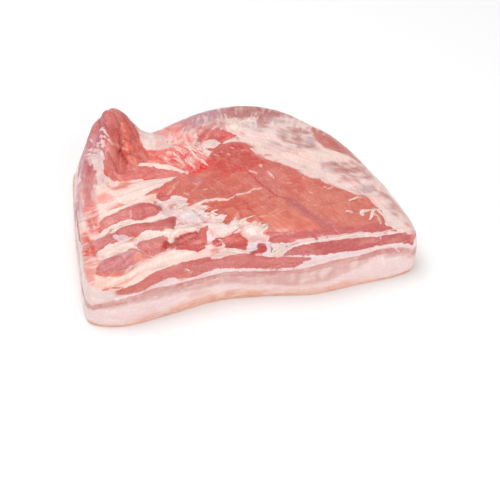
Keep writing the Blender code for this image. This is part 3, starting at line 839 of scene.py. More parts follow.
def paint_left(c):
    """Fat, stains and the lean strip ends of the left half, each strip bulging."""
    c.white([(-115, 0), (-104, 2), (-98, 10), (-76, 11), (-60, 10), (-47, 7),
             (-52, -2), (-62, -9), (-75, -17), (-78, -25), (-90, -30), (-104, -33),
             (-119, -36), (-118, -12)], CREAM, 1.2, 0.5)
    c.stain([(-103, 0), (-100, 10), (-84, 11), (-78, 5), (-86, -4), (-97, -5)],
            (238, 126, 112), 0.85, 4.5, span(c.broad, -2.0, 0.0))
    c.lean([(-90, 12), (-76, 12), (-60, 9), (-48, 7), (-38, 5), (-33, 5), (-38, 11), (-46, 18),
            (-56, 23), (-66, 25), (-80, 22)], (221, 116, 112), 1.2, 0.5)
    c.stain([(-58, 20), (-44, 14), (-36, 6), (-46, 7), (-60, 10)], (228, 138, 132), 0.7, 4.0)
    c.stain([(-86, 2), (-62, 4), (-54, 0), (-66, -8), (-80, -6)], (255, 232, 222), 0.7, 5.0)
    c.white_line([(-66, 31), (-54, 27), (-45, 22), (-38, 15), (-31, 5)], 5.6, (253, 222, 210),
                 0.8)
    c.stain([(-114, -9), (-104, -8), (-98, -12), (-106, -17), (-113, -15)], (244, 146, 128),
            0.85, 3.4)
    c.stain([(-108, -25), (-99, -21), (-92, -26), (-98, -31), (-106, -28)], (240, 128, 108),
            0.9, 3.4)
    c.stain_line([(-116, -14), (-108, -17), (-100, -16)], 2.0, (226, 140, 120), 0.6)
    c.stain([(-70, -20), (-62, -18), (-64, -28), (-72, -26)], (250, 178, 156), 0.8, 4.0)
    c.stain([(-80, -24), (-72, -20), (-68, -28), (-76, -30)], (246, 198, 182), 0.6, 4.0)
    c.lean([(-64, -18), (-57, -17), (-53, -22), (-55, -29), (-62, -29), (-64, -24)],
           (196, 86, 88), 0.8)
    cells = dict(rise=1.2, crease=0.7)
    c.lean([(-120, -46), (-117, -41), (-108, -37), (-99, -35), (-92, -31), (-84, -28),
            (-80, -25), (-72, -28), (-65, -30), (-61, -40), (-66, -42), (-71, -47), (-78, -50),
            (-88, -53), (-98, -54), (-106, -53), (-112, -54), (-118, -52)], (204, 112, 113),
           0.9, **cells)
    c.stain([(-122, -44), (-112, -38), (-106, -42), (-108, -54), (-120, -54)], (226, 152, 146),
            0.75, 5.0, span(c.blotch, -2.0, 0.4))
    c.stain([(-92, -36), (-76, -30), (-66, -34), (-66, -42), (-80, -50), (-94, -50)],
            (198, 100, 102), 0.75, 6.0)
    c.stain([(-98, -30), (-84, -26), (-76, -26), (-84, -34), (-100, -38)], (226, 150, 144),
            0.6, 4.0)
    c.stain_line([(-91, -40), (-92, -48)], 2.0, (236, 190, 188), 0.6)
    # A deep crease at the strip's end, its near-black red partly flesh and partly painted shade.
    c.groove([(-66, -27), (-65, -33), (-62, -40)], 3.6, 2.4, (136, 34, 40))
    c.lean([(-134, -62), (-130, -58), (-120, -57), (-113, -57), (-108, -62), (-106, -68),
            (-107, -75), (-116, -79), (-126, -80), (-134, -76)], (209, 128, 130), 0.9, **cells)
    c.stain([(-136, -58), (-126, -56), (-124, -66), (-130, -76), (-138, -72)], (220, 136, 130),
            0.7, 4.0)
    c.lean([(-112, -62), (-104, -58), (-98, -57), (-90, -56), (-82, -54), (-75, -55),
            (-66, -52), (-60, -52), (-53, -54), (-55, -60), (-57, -68), (-60, -76), (-68, -76),
            (-75, -78), (-84, -75), (-92, -75), (-100, -71), (-108, -68)],
           (202, 112, 110), 0.9, **cells)
    c.stain([(-76, -54), (-62, -56), (-60, -64), (-64, -74), (-76, -72)], (200, 104, 104),
            0.6, 5.0)
    c.stain([(-61, -58), (-55, -55), (-57, -64), (-62, -74), (-64, -68)], (164, 66, 68), 0.8,
            2.6)
    c.white([(-110, -63), (-104, -66), (-99, -72), (-106, -75), (-110, -69)],
            (226, 198, 204), 1.0)
    c.stain_line([(-122, -75), (-108, -79), (-98, -76), (-90, -73)], 3.6, (220, 100, 82), 0.8)
    c.stain([(-101, -76), (-91, -74), (-92, -82), (-100, -84)], (242, 150, 128), 0.8, 4.0)
    c.stain([(-130, -78), (-121, -78), (-121, -86), (-130, -84)], (206, 120, 120), 0.7, 3.0)
    c.lean([(-129, -93), (-122, -88), (-112, -87), (-102, -87), (-94, -91), (-90, -98),
            (-88, -104), (-94, -105), (-99, -109), (-106, -110), (-110, -114), (-117, -115),
            (-125, -112), (-130, -102)], (208, 140, 143), 1.0, **cells)
    c.stain([(-116, -85), (-104, -88), (-98, -96), (-106, -98), (-114, -94)],
            (226, 182, 182), 0.7, 5.0, span(c.blotch, -1.6, 0.4))
    c.stain_line([(-116, -109), (-108, -110), (-98, -110)], 1.8, (150, 90, 92), 0.6)
    c.stain([(-119, -111), (-98, -111), (-96, -116), (-118, -118)], (214, 118, 106), 0.8, 3.0)
    c.lean([(-97, -89), (-91, -84), (-84, -83), (-77, -81), (-70, -83), (-66, -90), (-69, -96),
            (-73, -101), (-82, -104), (-90, -102), (-94, -96)], (211, 128, 124), 0.9, **cells)
    c.white_line([(-100, -87), (-95, -92), (-92, -99), (-86, -104)], 2.4, (236, 200, 196), 0.4)
    c.stain_line([(-112, -92), (-104, -90), (-98, -94)], 2.4, (236, 206, 204), 0.7)
    c.stain_line([(-108, -98), (-100, -97), (-96, -100)], 2.0, (232, 190, 188), 0.6)
    c.stain([(-90, -96), (-72, -94), (-70, -102), (-88, -104)], (198, 88, 86), 0.7, 4.0)
    c.stain([(-100, -100), (-80, -104), (-70, -101), (-72, -108), (-98, -112)],
            (240, 158, 140), 0.8, 4.0)
    for seed, outline in ((141, [(-117, -42), (-100, -33), (-80, -26), (-65, -32), (-63, -42),
                                 (-82, -52), (-104, -49)]),
                          (143, [(-132, -60), (-118, -52), (-106, -62), (-66, -54), (-55, -58),
                                 (-63, -76), (-88, -73), (-118, -76)]),
                          (147, [(-130, -88), (-104, -88), (-95, -103), (-119, -115)]),
                          (149, [(-98, -92), (-78, -84), (-67, -92), (-80, -103)]),
                          (151, [(-71, -99), (-55, -85), (-38, -92), (-46, -108)])):
        speckle(c, outline, seed, 0.75)
    for path, width in (([(-124, -80), (-114, -78), (-104, -81)], 6.0),
                        ([(-92, -78), (-84, -74), (-74, -78), (-68, -82)], 6.0),
                        ([(-118, -52), (-100, -50), (-80, -53), (-68, -50)], 3.6),
                        ([(-114, -34), (-98, -31), (-88, -28)], 3.0),
                        ([(-102, -84), (-98, -88)], 4.0)):
        away, _ = off_path(c.x, c.y, path)
        c.relief += 1.3 * eased(1.2 - away / (0.7 * width))
        c.white_line(path, width, (252, 228, 217), 0.0)
    c.stain([(-128, 16), (-112, 18), (-113, -10), (-119, -26), (-129, -26)], (212, 148, 148),
            0.8, 4.0)
    c.stain([(-127, -16), (-116, -10), (-115, -24), (-118, -50), (-129, -50), (-127, -26)],
            (230, 126, 116), 0.9, 4.0, span(c.broad, -2.8, -0.6))
    c.stain_line([(-119, -14), (-120, -26), (-121, -38), (-119, -48)], 2.8, (228, 90, 76), 0.7)
    c.stain([(-142, -46), (-130, -44), (-126, -60), (-127, -74), (-144, -78)],
            (226, 108, 92), 0.9, 4.0, span(c.broad, -2.4, -0.2))
    c.stain([(-144, -74), (-127, -74), (-124, -96), (-144, -100)], (233, 138, 124), 0.85, 5.0)
    for path in ([(-131, -46), (-129, -60), (-129, -74)], [(-136, -56), (-134, -72)],
                 [(-126, -28), (-124, -36), (-125, -46)]):
        c.stain_line(path, 3.2, (216, 78, 64), 0.6)
        c.groove(path, 3.4, 1.0)
    for path in ([(-140, -70), (-132, -80), (-129, -90)], [(-138, -88), (-130, -100)],
                 [(-134, -30), (-131, -44)], [(-140, -100), (-128, -110)]):
        c.stain_line(path, 3.2, (248, 200, 186), 0.6)
    c.stain([(-146, -96), (-133, -96), (-124, -108), (-112, -116), (-100, -114), (-104, -130),
             (-146, -130)], (240, 150, 134), 0.85, 6.0)
    c.stain([(-134, -98), (-124, -108), (-110, -117), (-98, -114), (-104, -124), (-128, -118)],
            (240, 138, 116), 0.7, 5.0, span(c.broad, -0.9, 0.6))
    c.white([(-132, -106), (-122, -113), (-110, -119), (-104, -122), (-118, -124),
             (-134, -116)], (252, 216, 202), 1.4, 0.5)

    # The cream band along the cut, and red flesh in the hollow behind it.
    c.white([(-98, -112), (-84, -106), (-70, -101), (-60, -104), (-52, -107), (-40, -106),
             (-36, -110), (-35, -130), (-126, -136), (-108, -119)], CREAM, 1.2, 0.9)
    c.stain([(-74, -103), (-46, -107), (-42, -114), (-70, -112)], (255, 233, 220), 0.7, 4.0)
    c.lean([(-73, -99), (-69, -92), (-62, -89), (-56, -84), (-46, -83), (-41, -86), (-39, -94),
            (-35, -103), (-41, -104), (-50, -108), (-56, -106), (-62, -103), (-66, -98),
            (-70, -100)], (206, 86, 86), 1.2)
    c.stain([(-62, -94), (-50, -92), (-44, -104), (-56, -104)], (220, 118, 112), 0.6, 4.0,
            span(c.fine, -1.0, 0.8))
    c.stain([(-78, -100), (-72, -90), (-62, -84), (-54, -86), (-58, -96), (-68, -101)],
            (178, 34, 40), 0.9, 4.0)
    # The grooves' dark red is the hollow's flesh with painted shade in the creases.
    c.groove([(-72, -97), (-67, -91), (-62, -88)], 4.5, 1.4, (168, 16, 26))
    c.groove([(-64, -88), (-54, -87), (-44, -87), (-41, -92), (-40, -100)], 3.0, 1.4,
             (184, 30, 38))
    c.groove([(-58, -98), (-50, -95), (-45, -98)], 2.4, 1.0, (184, 64, 64))
    c.lean([(-37, -97), (-31, -95), (-24, -96), (-11, -96), (-9, -104), (-9, -112), (-12, -124),
            (-30, -132), (-34, -112)], (202, 84, 86), 1.0, 0.5, 0.6)
    c.stain([(-27, -96), (-20, -96), (-19, -101), (-26, -101)], (232, 130, 110), 0.8, 3.0)
    c.stain([(-20, -100), (-12, -98), (-10, -110), (-18, -112)], (214, 84, 76), 0.7, 4.0)
    c.white_line([(-29, -101), (-28, -108), (-25, -113), (-20, -116)], 1.8, (236, 204, 204), 0.6)
    # The groove beside the pale line is darkened partly with painted shade.
    c.groove([(-31, -101), (-30, -108), (-28, -113)], 1.6, 0.9, (156, 44, 46))


def paint_membrane(c):
    """Torn white fat and film between the strips and the sheet."""
    c.white([(-62, -50), (-50, -42), (-42, -46), (-36, -55), (-35, -62), (-28, -68), (-20, -66),
             (-15, -67), (-18, -71), (-23, -74), (-18, -79), (-12, -74), (-9, -70), (-6, -78),
             (-8, -83), (-9, -88), (-4, -87), (3, -85), (5, -83), (6, -87), (5, -90), (11, -92),
             (13, -95), (8, -98), (6, -106), (4, -113), (-7, -113), (-7, -104), (-10, -98),
             (-9, -93), (-13, -95), (-19, -94), (-24, -98), (-30, -95), (-36, -96), (-42, -91),
             (-42, -86), (-66, -85), (-64, -77), (-58, -66), (-54, -58)], (240, 214, 209), 1.0)
    torn = signed_inside(c.x, c.y, [(-66, -84), (-58, -56), (-40, -46), (-22, -64), (-8, -76),
                                    (10, -88), (8, -112), (-8, -113), (-30, -94)])
    inside = eased(torn / 5.0 + 0.5)
    flat = np.stack([c.x, c.y, 0 * c.x], 1)
    lumps = noise(flat, 5.5, 131) + 0.6 * noise(flat, 2.8, 133) + 0.35 * c.fine
    c.relief += inside * 0.6 * lumps
    fat = inside * eased(-c.flesh / 2.0)
    # Pinker in the low spots between lumps, partly flesh showing and partly painted shade; whiter
    # on the lump tops as painted light.
    c.tint(c.fat, (228, 150, 140), 0.65 * fat * span(-lumps, 0.5, 1.5))
    c.tint(c.fat, (255, 244, 236), 0.5 * fat * span(lumps, 0.0, 1.0))
    c.white([(-64, -30), (-58, -30), (-52, -34), (-50, -42), (-52, -52), (-60, -52),
             (-66, -44), (-62, -38)], (232, 206, 208), 1.0)
    c.white([(-60, -28), (-54, -26), (-46, -26), (-44, -34), (-50, -44), (-56, -38)],
            (238, 208, 204), 1.4)
    c.stain([(-58, -35), (-51, -35), (-50, -40), (-57, -41)], (196, 96, 84), 0.7, 3.0)
    c.stain([(-52, -38), (-46, -40), (-44, -48), (-50, -52)], (212, 208, 214), 0.7, 4.0)
    c.stain([(-60, -58), (-50, -54), (-40, -60), (-34, -66), (-44, -72), (-56, -70)],
            (222, 200, 204), 0.6, 6.0, span(c.blotch, -1.2, 1.0))
    # Thick flakes, each with a sunk crease round it that is tinted pink-dark as painted shade.
    for outline, colour, rise in (
            ([(-54, -52), (-46, -48), (-40, -50), (-36, -57), (-35, -62), (-28, -67), (-34, -71),
              (-46, -68), (-52, -62)], (236, 216, 220), 0.7),
            ([(-69, -88), (-64, -79), (-57, -75), (-48, -75), (-43, -80), (-44, -86), (-50, -84),
              (-58, -84), (-65, -87)], (250, 228, 216), 1.5),
            ([(-40, -74), (-33, -72), (-26, -75), (-21, -77), (-18, -80), (-13, -76), (-10, -74),
              (-8, -79), (-8, -84), (-10, -90), (-19, -93), (-24, -97), (-31, -92), (-32, -84),
              (-36, -78)], (252, 230, 221), 1.5),
            ([(-9, -92), (-4, -87), (3, -85), (5, -84), (6, -87), (5, -91), (8, -95), (3, -100),
              (5, -107), (-3, -110), (-7, -109), (-6, -103), (-9, -98)], (255, 236, 226), 1.7)):
        deep = c.white(outline, colour, 0.55, rise)
        # Painted shade in the crease round the flake.
        round_it = np.exp(-(((deep + 0.5) / 0.9) ** 2))
        c.relief -= 0.9 * round_it
        c.tint(c.fat, (226, 142, 132), 0.7 * round_it * inside)
        c.relief -= 0.45 * inside * eased(deep / 1.5) * lumps
        c.tint(c.fat, (238, 208, 212), 0.5 * eased(deep / 2.0) * span(lumps, 0.1, 1.1))
    # Creases between the flakes, darkened partly with painted shade.
    for path in ([(-58, -64), (-52, -68), (-48, -68)], [(-46, -72), (-41, -71)],
                 [(-36, -66), (-33, -74)], [(-55, -75), (-48, -73), (-40, -73)]):
        c.groove(path, 2.2, 1.3, (200, 120, 112))
    for path, width in (([(-60, -47), (-52, -46), (-44, -50)], 3.0), ([(4, -98), (12, -93)], 2.2),
                        ([(6, -102), (13, -97)], 1.8), ([(3, -93), (8, -90)], 1.6),
                        ([(-7, -81), (0, -77), (6, -76)], 1.7),
                        ([(-28, -67), (-21, -66), (-15, -67)], 1.8)):
        c.white_line(path, width, (252, 224, 211), 0.9)
    c.stain([(-13, -74), (-5, -64), (-5, -72), (-6, -78)], (240, 182, 166), 0.6, 2.0)
    c.stain_line([(6, -76), (17, -78), (25, -77), (34, -71)], 1.6, (241, 180, 164), 0.6)
    # The orange wedge's crease, its dark red partly flesh and partly painted shade.
    c.groove([(-19, -80), (-14, -76), (-9, -70)], 2.6, 1.1, (186, 62, 44))
    c.lean_line([(-8, -90), (-14, -93), (-20, -95)], 2.0, (228, 112, 90))
    c.lean([(-41, -82), (-34, -78), (-33, -83), (-37, -88), (-38, -94), (-41, -99), (-43, -97),
            (-42, -89)], (214, 108, 100), 0.5, 0.5)
    c.stain_line([(-36, -80), (-35, -85)], 1.4, (240, 172, 160), 0.7)
    # A raised lilac-white spot of film with a painted glint.
    c.white([(-38, -92), (-35, -92), (-34, -96), (-36, -99), (-38, -96)], (232, 218, 232), 0.4,
            1.0)
    c.white_line([(-38, -98), (-37, -103), (-34, -108)], 2.4, (240, 190, 184), 0.5)
    c.stain([(-25, -97), (-20, -97), (-20, -103), (-25, -103)], (232, 116, 88), 0.8, 2.5)
    # A light pink painted highlight on the lean.
    c.stain([(-18, -104), (-12, -104), (-12, -109), (-18, -109)], (230, 128, 122), 0.6, 3.0)
    c.stain([(-7, -105), (8, -107), (9, -116), (-7, -118)], (222, 174, 174), 0.75, 3.0)
    c.lean([(-75, -100), (-74, -95), (-69, -88.5), (-63, -85.5), (-56, -84.5), (-46, -84.5),
            (-43, -88), (-45, -91), (-56, -91), (-62, -94), (-67, -99)], (180, 38, 44), 0.4)


def paint_top(points, flow):
    # Down a wall the patterns drift with height, so nothing runs straight down it.
    below = np.minimum(points[:, 2] - 45.0, 0.0)
    warp = np.stack([points[:, 0], points[:, 1], 0.9 * below], 1)
    broad, fine = (flow.at(points[:, 0] - 0.5 * below, points[:, 1] + 0.8 * below,
                           flow.smear(*sizes))
                   for sizes in ((3.4, 11.0, 5), (1.7, 6.0, 7)))
    blotch = 2.4 * layered_noise(warp, 16.0, 9)
    drift = 1.0 - 0.10 * below
    x = points[:, 0] + 1.6 * layered_noise(warp, 9.0, 11) + 0.5 * noise(warp, 3.0, 14)
    y = points[:, 1] + drift * 1.4 * layered_noise(warp, 8.0, 21) + 0.5 * noise(warp, 2.6, 24)
    c = Canvas(x, y, broad, fine, blotch, FAT, MAUVE)
    paint_rear(c)
    paint_sheet(c)
    blood = paint_torn(c)
    paint_fold(c)
    paint_left(c)
    paint_membrane(c)
    # The sheet's front edge over a white skin.
    c.lean([(10, -104), (60, -107), (112, -104), (118, -112), (60, -115.5), (10, -118)],
           (204, 110, 110), 0.6)
    c.white_line([(6, -119), (50, -117), (100, -113.5), (120, -110)], 1.4, (236, 204, 202), 0.7)
    c.stain_line([(45, -113), (47, -118)], 3.6, (196, 34, 44), 0.9)
    c.stain_line([(54, -115), (56, -117)], 2.2, (206, 50, 56), 0.8)
    c.streaked((178, 70, 68), (238, 176, 164))
    return c, blood


FAT_TOP = [(-139, 18), (-120, 22), (-100, 22), (-80, 20.5), (-60, 19), (-40, 17), (-20, 16),
           (0, 13), (20, 11.5), (40, 11.5), (55, 12), (65, 14), (75, 16.5), (82, 18), (90, 21),
           (95, 24), (103, 24.5), (110, 22), (120, 21.5), (128, 18), (135, 13), (150, 18),
           (190, 22), (240, 18), (290, 24), (340, 20), (400, 17), (450, 22), (500, 19),
           (565, 21), (620, 23), (700, 21), (760, 19), (790, 18)]
BAND_TOP = [(-139, 20), (-130, 24.5), (-120, 27), (-100, 29.5), (-80, 30), (-60, 28.5),
            (-45, 27), (-30, 28.5), (-20, 28), (0, 26.5), (20, 26.5), (30, 27), (40, 28.5),
            (50, 30.5), (60, 31.5), (70, 30.5), (80, 30), (90, 30.5), (100, 32), (108, 32),
            (115, 30.5), (128, 26), (135, 21), (150, 25), (190, 28), (240, 27), (290, 30),
            (340, 28), (400, 25), (450, 29), (500, 28), (565, 29), (620, 30), (700, 28),
            (760, 24), (790, 20)]
MIDDLE_LOW = [(-119, 33), (-116, 31.5), (-105, 31.5), (-95, 33), (-85, 34.5), (-75, 37),
              (-70, 35), (-67, 32.5), (-50, 30.5), (-40, 32), (-33, 33), (-20, 30.5), (0, 29),
              (10, 27), (20, 27), (28, 28.5), (33, 31), (36, 35), (43, 36.5)]
MIDDLE_TOP = [(-118, 35), (-112, 37), (-105, 39), (-100, 41), (-92, 43.5), (-85, 46),
              (-75, 47), (-62, 47.5), (-55, 46), (-40, 45), (-32, 43), (-22, 43.5), (-12, 44),
              (-5, 43), (0, 41.5), (12, 38.5), (20, 38), (30, 38.7), (42, 37.5)]
UPPER_LOW = [(18, 40), (35, 40), (50, 39), (60, 38), (70, 37), (80, 35.5), (90, 35),
             (100, 35.5), (110, 35), (120, 32.5), (128, 30), (135, 26)]
UPPER_TOP = [(19, 41), (22, 44), (28, 48), (35, 50.5), (45, 51), (60, 50.5), (75, 48.5),
             (85, 47), (95, 45.5), (101, 44.5), (105, 46), (118, 45), (125, 41.5),
             (135, 35)]
ROUND_LOW = [(135, 30), (160, 33), (220, 32), (290, 35), (340, 33), (400, 31), (460, 34),
             (520, 33), (565, 35), (640, 34), (700, 34), (732, 36)]
ROUND_TOP = [(135, 34), (160, 38), (220, 39), (290, 38), (340, 39), (400, 38), (460, 42),
             (520, 44), (565, 50), (640, 46), (700, 41), (730, 38)]


def between(low, top):
    """The outline of a layer from its lower and upper line."""
    return low + [point for point in top[::-1] if point not in low]


def paint_sides(station, rise, points):
    around = np.stack([points[:, 0], points[:, 1], 2.2 * points[:, 2]], 1)
    drawn = points * [0.13, 0.13, 1.0]
    broad = 3.0 * layered_noise(drawn, 3.0, 41, 2)
    fine = 2.6 * layered_noise(drawn * [1.6, 1.6, 1.0], 1.5, 43, 2)
    blotch = 2.4 * layered_noise(around, 16.0, 45)
    x = station + 1.2 * layered_noise(around, 8.0, 31) + 0.5 * noise(around, 2.6, 34)
    y = rise + 0.8 * layered_noise(around, 11.0, 47) + 0.35 * noise(around, 3.0, 44)
    c = Canvas(x, y, broad, fine, blotch, (243, 219, 218), MAUVE)
    c.stain([(-160, 62), (-160, 38), (-120, 35), (-96, 33), (-66, 42), (-30, 44), (-10, 47),
             (-8, 62)], CREAM, 1.0, 3.0)
    c.stain([(30, 31), (45, 38), (134, 35), (134, 30), (100, 32), (60, 31)], (236, 214, 217),
            1.0, 3.0)
    c.stain([(-139, 21), (-120, 28), (-100, 30), (-70, 31), (-75, 38), (-100, 33), (-125, 36)],
            (233, 211, 214), 1.0, 3.0)
    c.stain([(-70, 16), (-40, 14), (-5, 12), (-5, 4), (-70, 6)], (251, 226, 220), 0.7, 5.0)

    # The pale lean band: firm above, melting into the fat below.
    shallow = between(FAT_TOP, BAND_TOP)
    c.stain(shallow, (222, 178, 174), 1.0, 4.5)
    c.lean(between([(s, z - 5.0) for s, z in BAND_TOP], BAND_TOP), (224, 182, 178), 0.3)
    c.stain(between([(s, z - 4.5) for s, z in BAND_TOP], BAND_TOP), (212, 164, 161), 0.55, 4.0,
            span(broad, -2.6, 0.2))
    slant = noise(points * [1.0, 1.0, 0.35], 3.4, 49)
    inside = eased(signed_inside(c.x, c.y, shallow) / 3.0 + 0.4)
    c.stain([(-139, 17), (-139, 20), (-110, 27), (-60, 28), (-60, 19), (-110, 21)],
            (206, 158, 156), 0.45, 4.0)
    for held in (c.meat, c.fat):
        c.tint(held, (240, 210, 206), 0.55 * inside * span(slant, 0.0, 0.7))
        c.tint(held, (212, 164, 160), 0.40 * inside * span(-slant, 0.1, 0.8))
    c.lean(between(MIDDLE_LOW, MIDDLE_TOP), (209, 122, 121), 0.45)
    c.lean(between(UPPER_LOW, UPPER_TOP), (194, 102, 104), 0.45)
    c.lean(between(ROUND_LOW, ROUND_TOP), (206, 132, 130), 0.9)
    c.stain([(-120, 31), (-100, 32), (-84, 35), (-84, 39), (-120, 36)], (216, 130, 114), 0.7,
            3.0)
    c.stain([(-62, 47), (-40, 45), (-34, 41), (-60, 42)], (204, 98, 96), 0.7, 2.5)
    c.stain([(-40, 42), (40, 37), (36, 33), (-40, 36)], (218, 134, 130), 0.5, 4.0)
    c.stain([(48, 49), (74, 47), (102, 42), (104, 38), (80, 37), (56, 40)], (192, 96, 99), 0.7,
            4.0)
    c.stain([(18, 40), (30, 48), (44, 49), (44, 42)], (212, 128, 128), 0.5, 4.0)
    c.stain_line([(s, z) for s, z in MIDDLE_LOW[7:]], 2.2, (196, 104, 108), 0.4)

    # Pale skins between the layers, a little proud of the cut.
    for path, width in (([(s, z - 0.6) for s, z in MIDDLE_LOW[7:]], 1.8),
                        ([(s, z - 0.5) for s, z in UPPER_LOW], 1.2),
                        ([(s, z + 1.0) for s, z in BAND_TOP[2:20]], 1.4)):
        c.white_line(path, width, (247, 226, 225), 0.3)
        c.groove([(s, z - 1.8) for s, z in path], 1.8, 0.35)

    # Small things along the upper part of the front cut.
    c.lean([(-32, 62), (-30, 56), (-24, 50), (-10, 47), (-8, 62)], (196, 82, 84))
    c.lean([(-8, 43.5), (-3, 47), (0, 54), (5, 53), (7, 47), (4, 43), (-3, 42)], (184, 74, 78))
    c.stain([(-9, 44), (-2, 43), (-2, 47), (-8, 46.5)], (150, 72, 76), 0.7, 2.0)
    # Lilac-white cartilage spots, painted bright as glints.
    c.white([(-9, 48), (-6, 51), (-2, 51), (-1, 48), (-4, 46.5)], (232, 220, 232), 0.8, 0.8)
    c.white([(7, 47), (8, 51), (10, 51), (11, 47), (9, 45)], (230, 220, 230), 0.8, 0.8)
    c.white([(-38, 49), (-34, 50), (-30, 52), (-27, 49.5), (-20, 46.5), (-9, 45), (-8, 44),
             (-24, 44), (-38, 44)], (240, 208, 202), 0.6, 0.5)
    c.stain([(-39, 57), (-33, 57), (-33, 47), (-38, 46)], (228, 112, 98), 0.75, 2.5)
    c.white([(-38, 43), (-31, 44.4), (-24, 43.6), (-30, 42.4)], (250, 222, 212), 0.2, 0.5)
    c.white([(11, 41), (12, 48), (18, 51), (23, 51), (20, 46), (19, 41), (15, 38.5)],
            (246, 220, 213), 0.6, 1.0)
    # A crease darkened partly with painted shade.
    c.groove([(10, 52), (11, 43)], 1.6, 0.9, (170, 80, 84))
    c.lean([(11, 62), (11, 52), (22, 51.2), (32, 52.8), (48, 54), (62, 52), (80, 50.3),
            (96, 47), (112, 45.4), (112, 62)], (196, 92, 94), 0.3)
    c.stain_line([(74, 52.6), (90, 50.4), (106, 48)], 1.2, (168, 60, 66), 0.7)
    for path, width in (([(20, 47.5), (28, 51), (40, 52.6), (54, 52), (66, 51)], 1.8),
                        ([(60, 52.2), (80, 50.4), (98, 47.6), (112, 47)], 1.5),
                        ([(24, 52.2), (36, 55), (56, 54.4), (72, 52.6)], 1.1)):
        c.white_line(path, width, (236, 211, 214), 0.7)
    # Dark creases by the strings: painted shadow beneath them.
    for path in ([(20, 51.4), (28, 53), (36, 54.8), (48, 55.2)], [(22, 49), (32, 52), (44, 53.4)]):
        c.groove(path, 1.1, 0.6, (172, 118, 124))
    c.white_line([(117, 31.5), (118, 27), (120, 25)], 2.0, (243, 220, 218))
    c.white_line([(101, 46), (103, 42)], 1.8, (230, 200, 202))
    c.white_line([(104, 23), (106, 17)], 1.2, (250, 232, 232))
    c.stain_line([(-62, 40), (-59, 37.5), (-56, 36)], 1.6, (238, 196, 190), 0.7)
    c.stain_line([(-60, 46), (-59, 42)], 1.2, (238, 190, 184), 0.6)
    c.stain([(-70, 35), (-66, 38), (-58, 37), (-56, 32), (-66, 31)], (222, 140, 128), 0.7, 2.0)
    c.lean_line([(-130, 35.5), (-122, 38), (-114, 38)], 1.6, (214, 120, 110))
    for path in ([(-128, 37), (-114, 41), (-100, 48)], [(-120, 42), (-108, 46), (-96, 52)],
                 [(-126, 46), (-112, 49)]):
        c.stain_line(path, 2.8, (244, 150, 126), 0.7)
    c.stain([(-142, 62), (-142, 34), (-134, 36), (-118, 44), (-100, 50), (-96, 62)],
            (250, 200, 184), 0.6, 4.0)
    c.stain([(132, 44), (138, 40), (138, 30), (131, 30)], (230, 148, 136), 0.7, 3.0)
    c.stain([(120, 46), (136, 44), (136, 36), (124, 40)], (236, 176, 164), 0.6, 3.0)
    # A warm band along the foot of the cut faces: the fat's own tinge by the skin with a painted
    # orange glow over it.
    for low, high, strength in ((-76, 4, 0.85), (-112, 96, 0.4), (54, 78, 0.5)):
        c.stain([(low, 7), (0.5 * (low + high), 8.5), (high, 7), (high, -3), (low, -3)],
                (238, 178, 150), strength, 6.0)
    c.streaked((186, 84, 84), (236, 180, 174))
    return c


# ------------------------------------------------------------------------------ the meat


def ring_index(column, row):
    if row == 0:
        return column
    if column == COLUMNS:
        return COLUMNS + row
    if row == ROWS:
        return COLUMNS + ROWS + (COLUMNS - column)
    return (2 * COLUMNS + ROWS + (ROWS - row)) % (2 * (COLUMNS + ROWS))


def vertex_normals(points, quads):
    a, b, c, d = (points[quads[:, corner]] for corner in range(4))
    flat = np.cross(c - a, d - b)
    total = np.zeros_like(points)
    for corner in range(4):
        np.add.at(total, quads[:, corner], flat)
    return total / np.linalg.norm(total, axis=1)[:, None]


def ring_stations(ring):
    """Where each ring point stands round the slab: x along the front, then on and round."""
    station = np.empty(len(ring))
    station[:COLUMNS + 1] = ring[:COLUMNS + 1, 0]
    turns = [(COLUMNS, ROWS, 135.0, 340.0), (COLUMNS + ROWS, COLUMNS, 340.0, 565.0),
             (2 * COLUMNS + ROWS, ROWS, 565.0, 790.0)]
    for start, steps, first, last in turns:
        run = np.linspace(first, last, steps + 1)
        station[start:start + steps] = run[:-1]
    station[COLUMNS] = 135.0
    return station


def dense_slab():
    """The CAD form again with fine steps, as points, quads and each wall point's station."""
    ring, inward = plan_ring(COLUMNS, ROWS)
    rings = wall_rings(ring, inward, FOOT_STEPS, WALL_STEPS, BROW_STEPS)
    top = upper_face(rings[-1][:, :2], COLUMNS, ROWS)
    middle = cad_middle()
    count = len(ring)
    walls = np.concatenate(rings) - middle
    inner = (top[1:-1, 1:-1] - middle).reshape(-1, 3)
    points = np.concatenate([walls, inner])
    here = np.arange(count)
    then = np.roll(here, -1)
    quads = [np.stack([here + low, then + low, then + low + count, here + low + count], 1)
             for low in np.arange(len(rings) - 1) * count]
    grid = np.empty((COLUMNS + 1, ROWS + 1), int)
    grid[1:-1, 1:-1] = len(walls) + np.arange(len(inner)).reshape(COLUMNS - 1, ROWS - 1)
    last = len(walls) - count
    for column in range(COLUMNS + 1):
        for row in (0, ROWS):
            grid[column, row] = last + ring_index(column, row)
    for row in range(ROWS + 1):
        for column in (0, COLUMNS):
            grid[column, row] = last + ring_index(column, row)
    quads.append(np.stack([grid[:-1, :-1], grid[1:, :-1], grid[1:, 1:], grid[:-1, 1:]], -1)
                 .reshape(-1, 4))
    station = np.tile(ring_stations(ring - middle[:2]), len(rings))
    station[:] = np.where(np.tile(np.arange(count) <= COLUMNS, len(rings)), walls[:, 0], station)
    return points, np.concatenate(quads), station, count


def new_mesh(name, points, faces, smooth=True):
    mesh = bpy.data.meshes.new(name)
    mesh.from_pydata((np.asarray(points) * MM).tolist(), [], [list(face) for face in faces])
    mesh.update()
    if smooth:
        mesh.shade_smooth()
    piece = bpy.data.objects.new(name, mesh)
    bpy.context.scene.collection.objects.link(piece)
    return piece


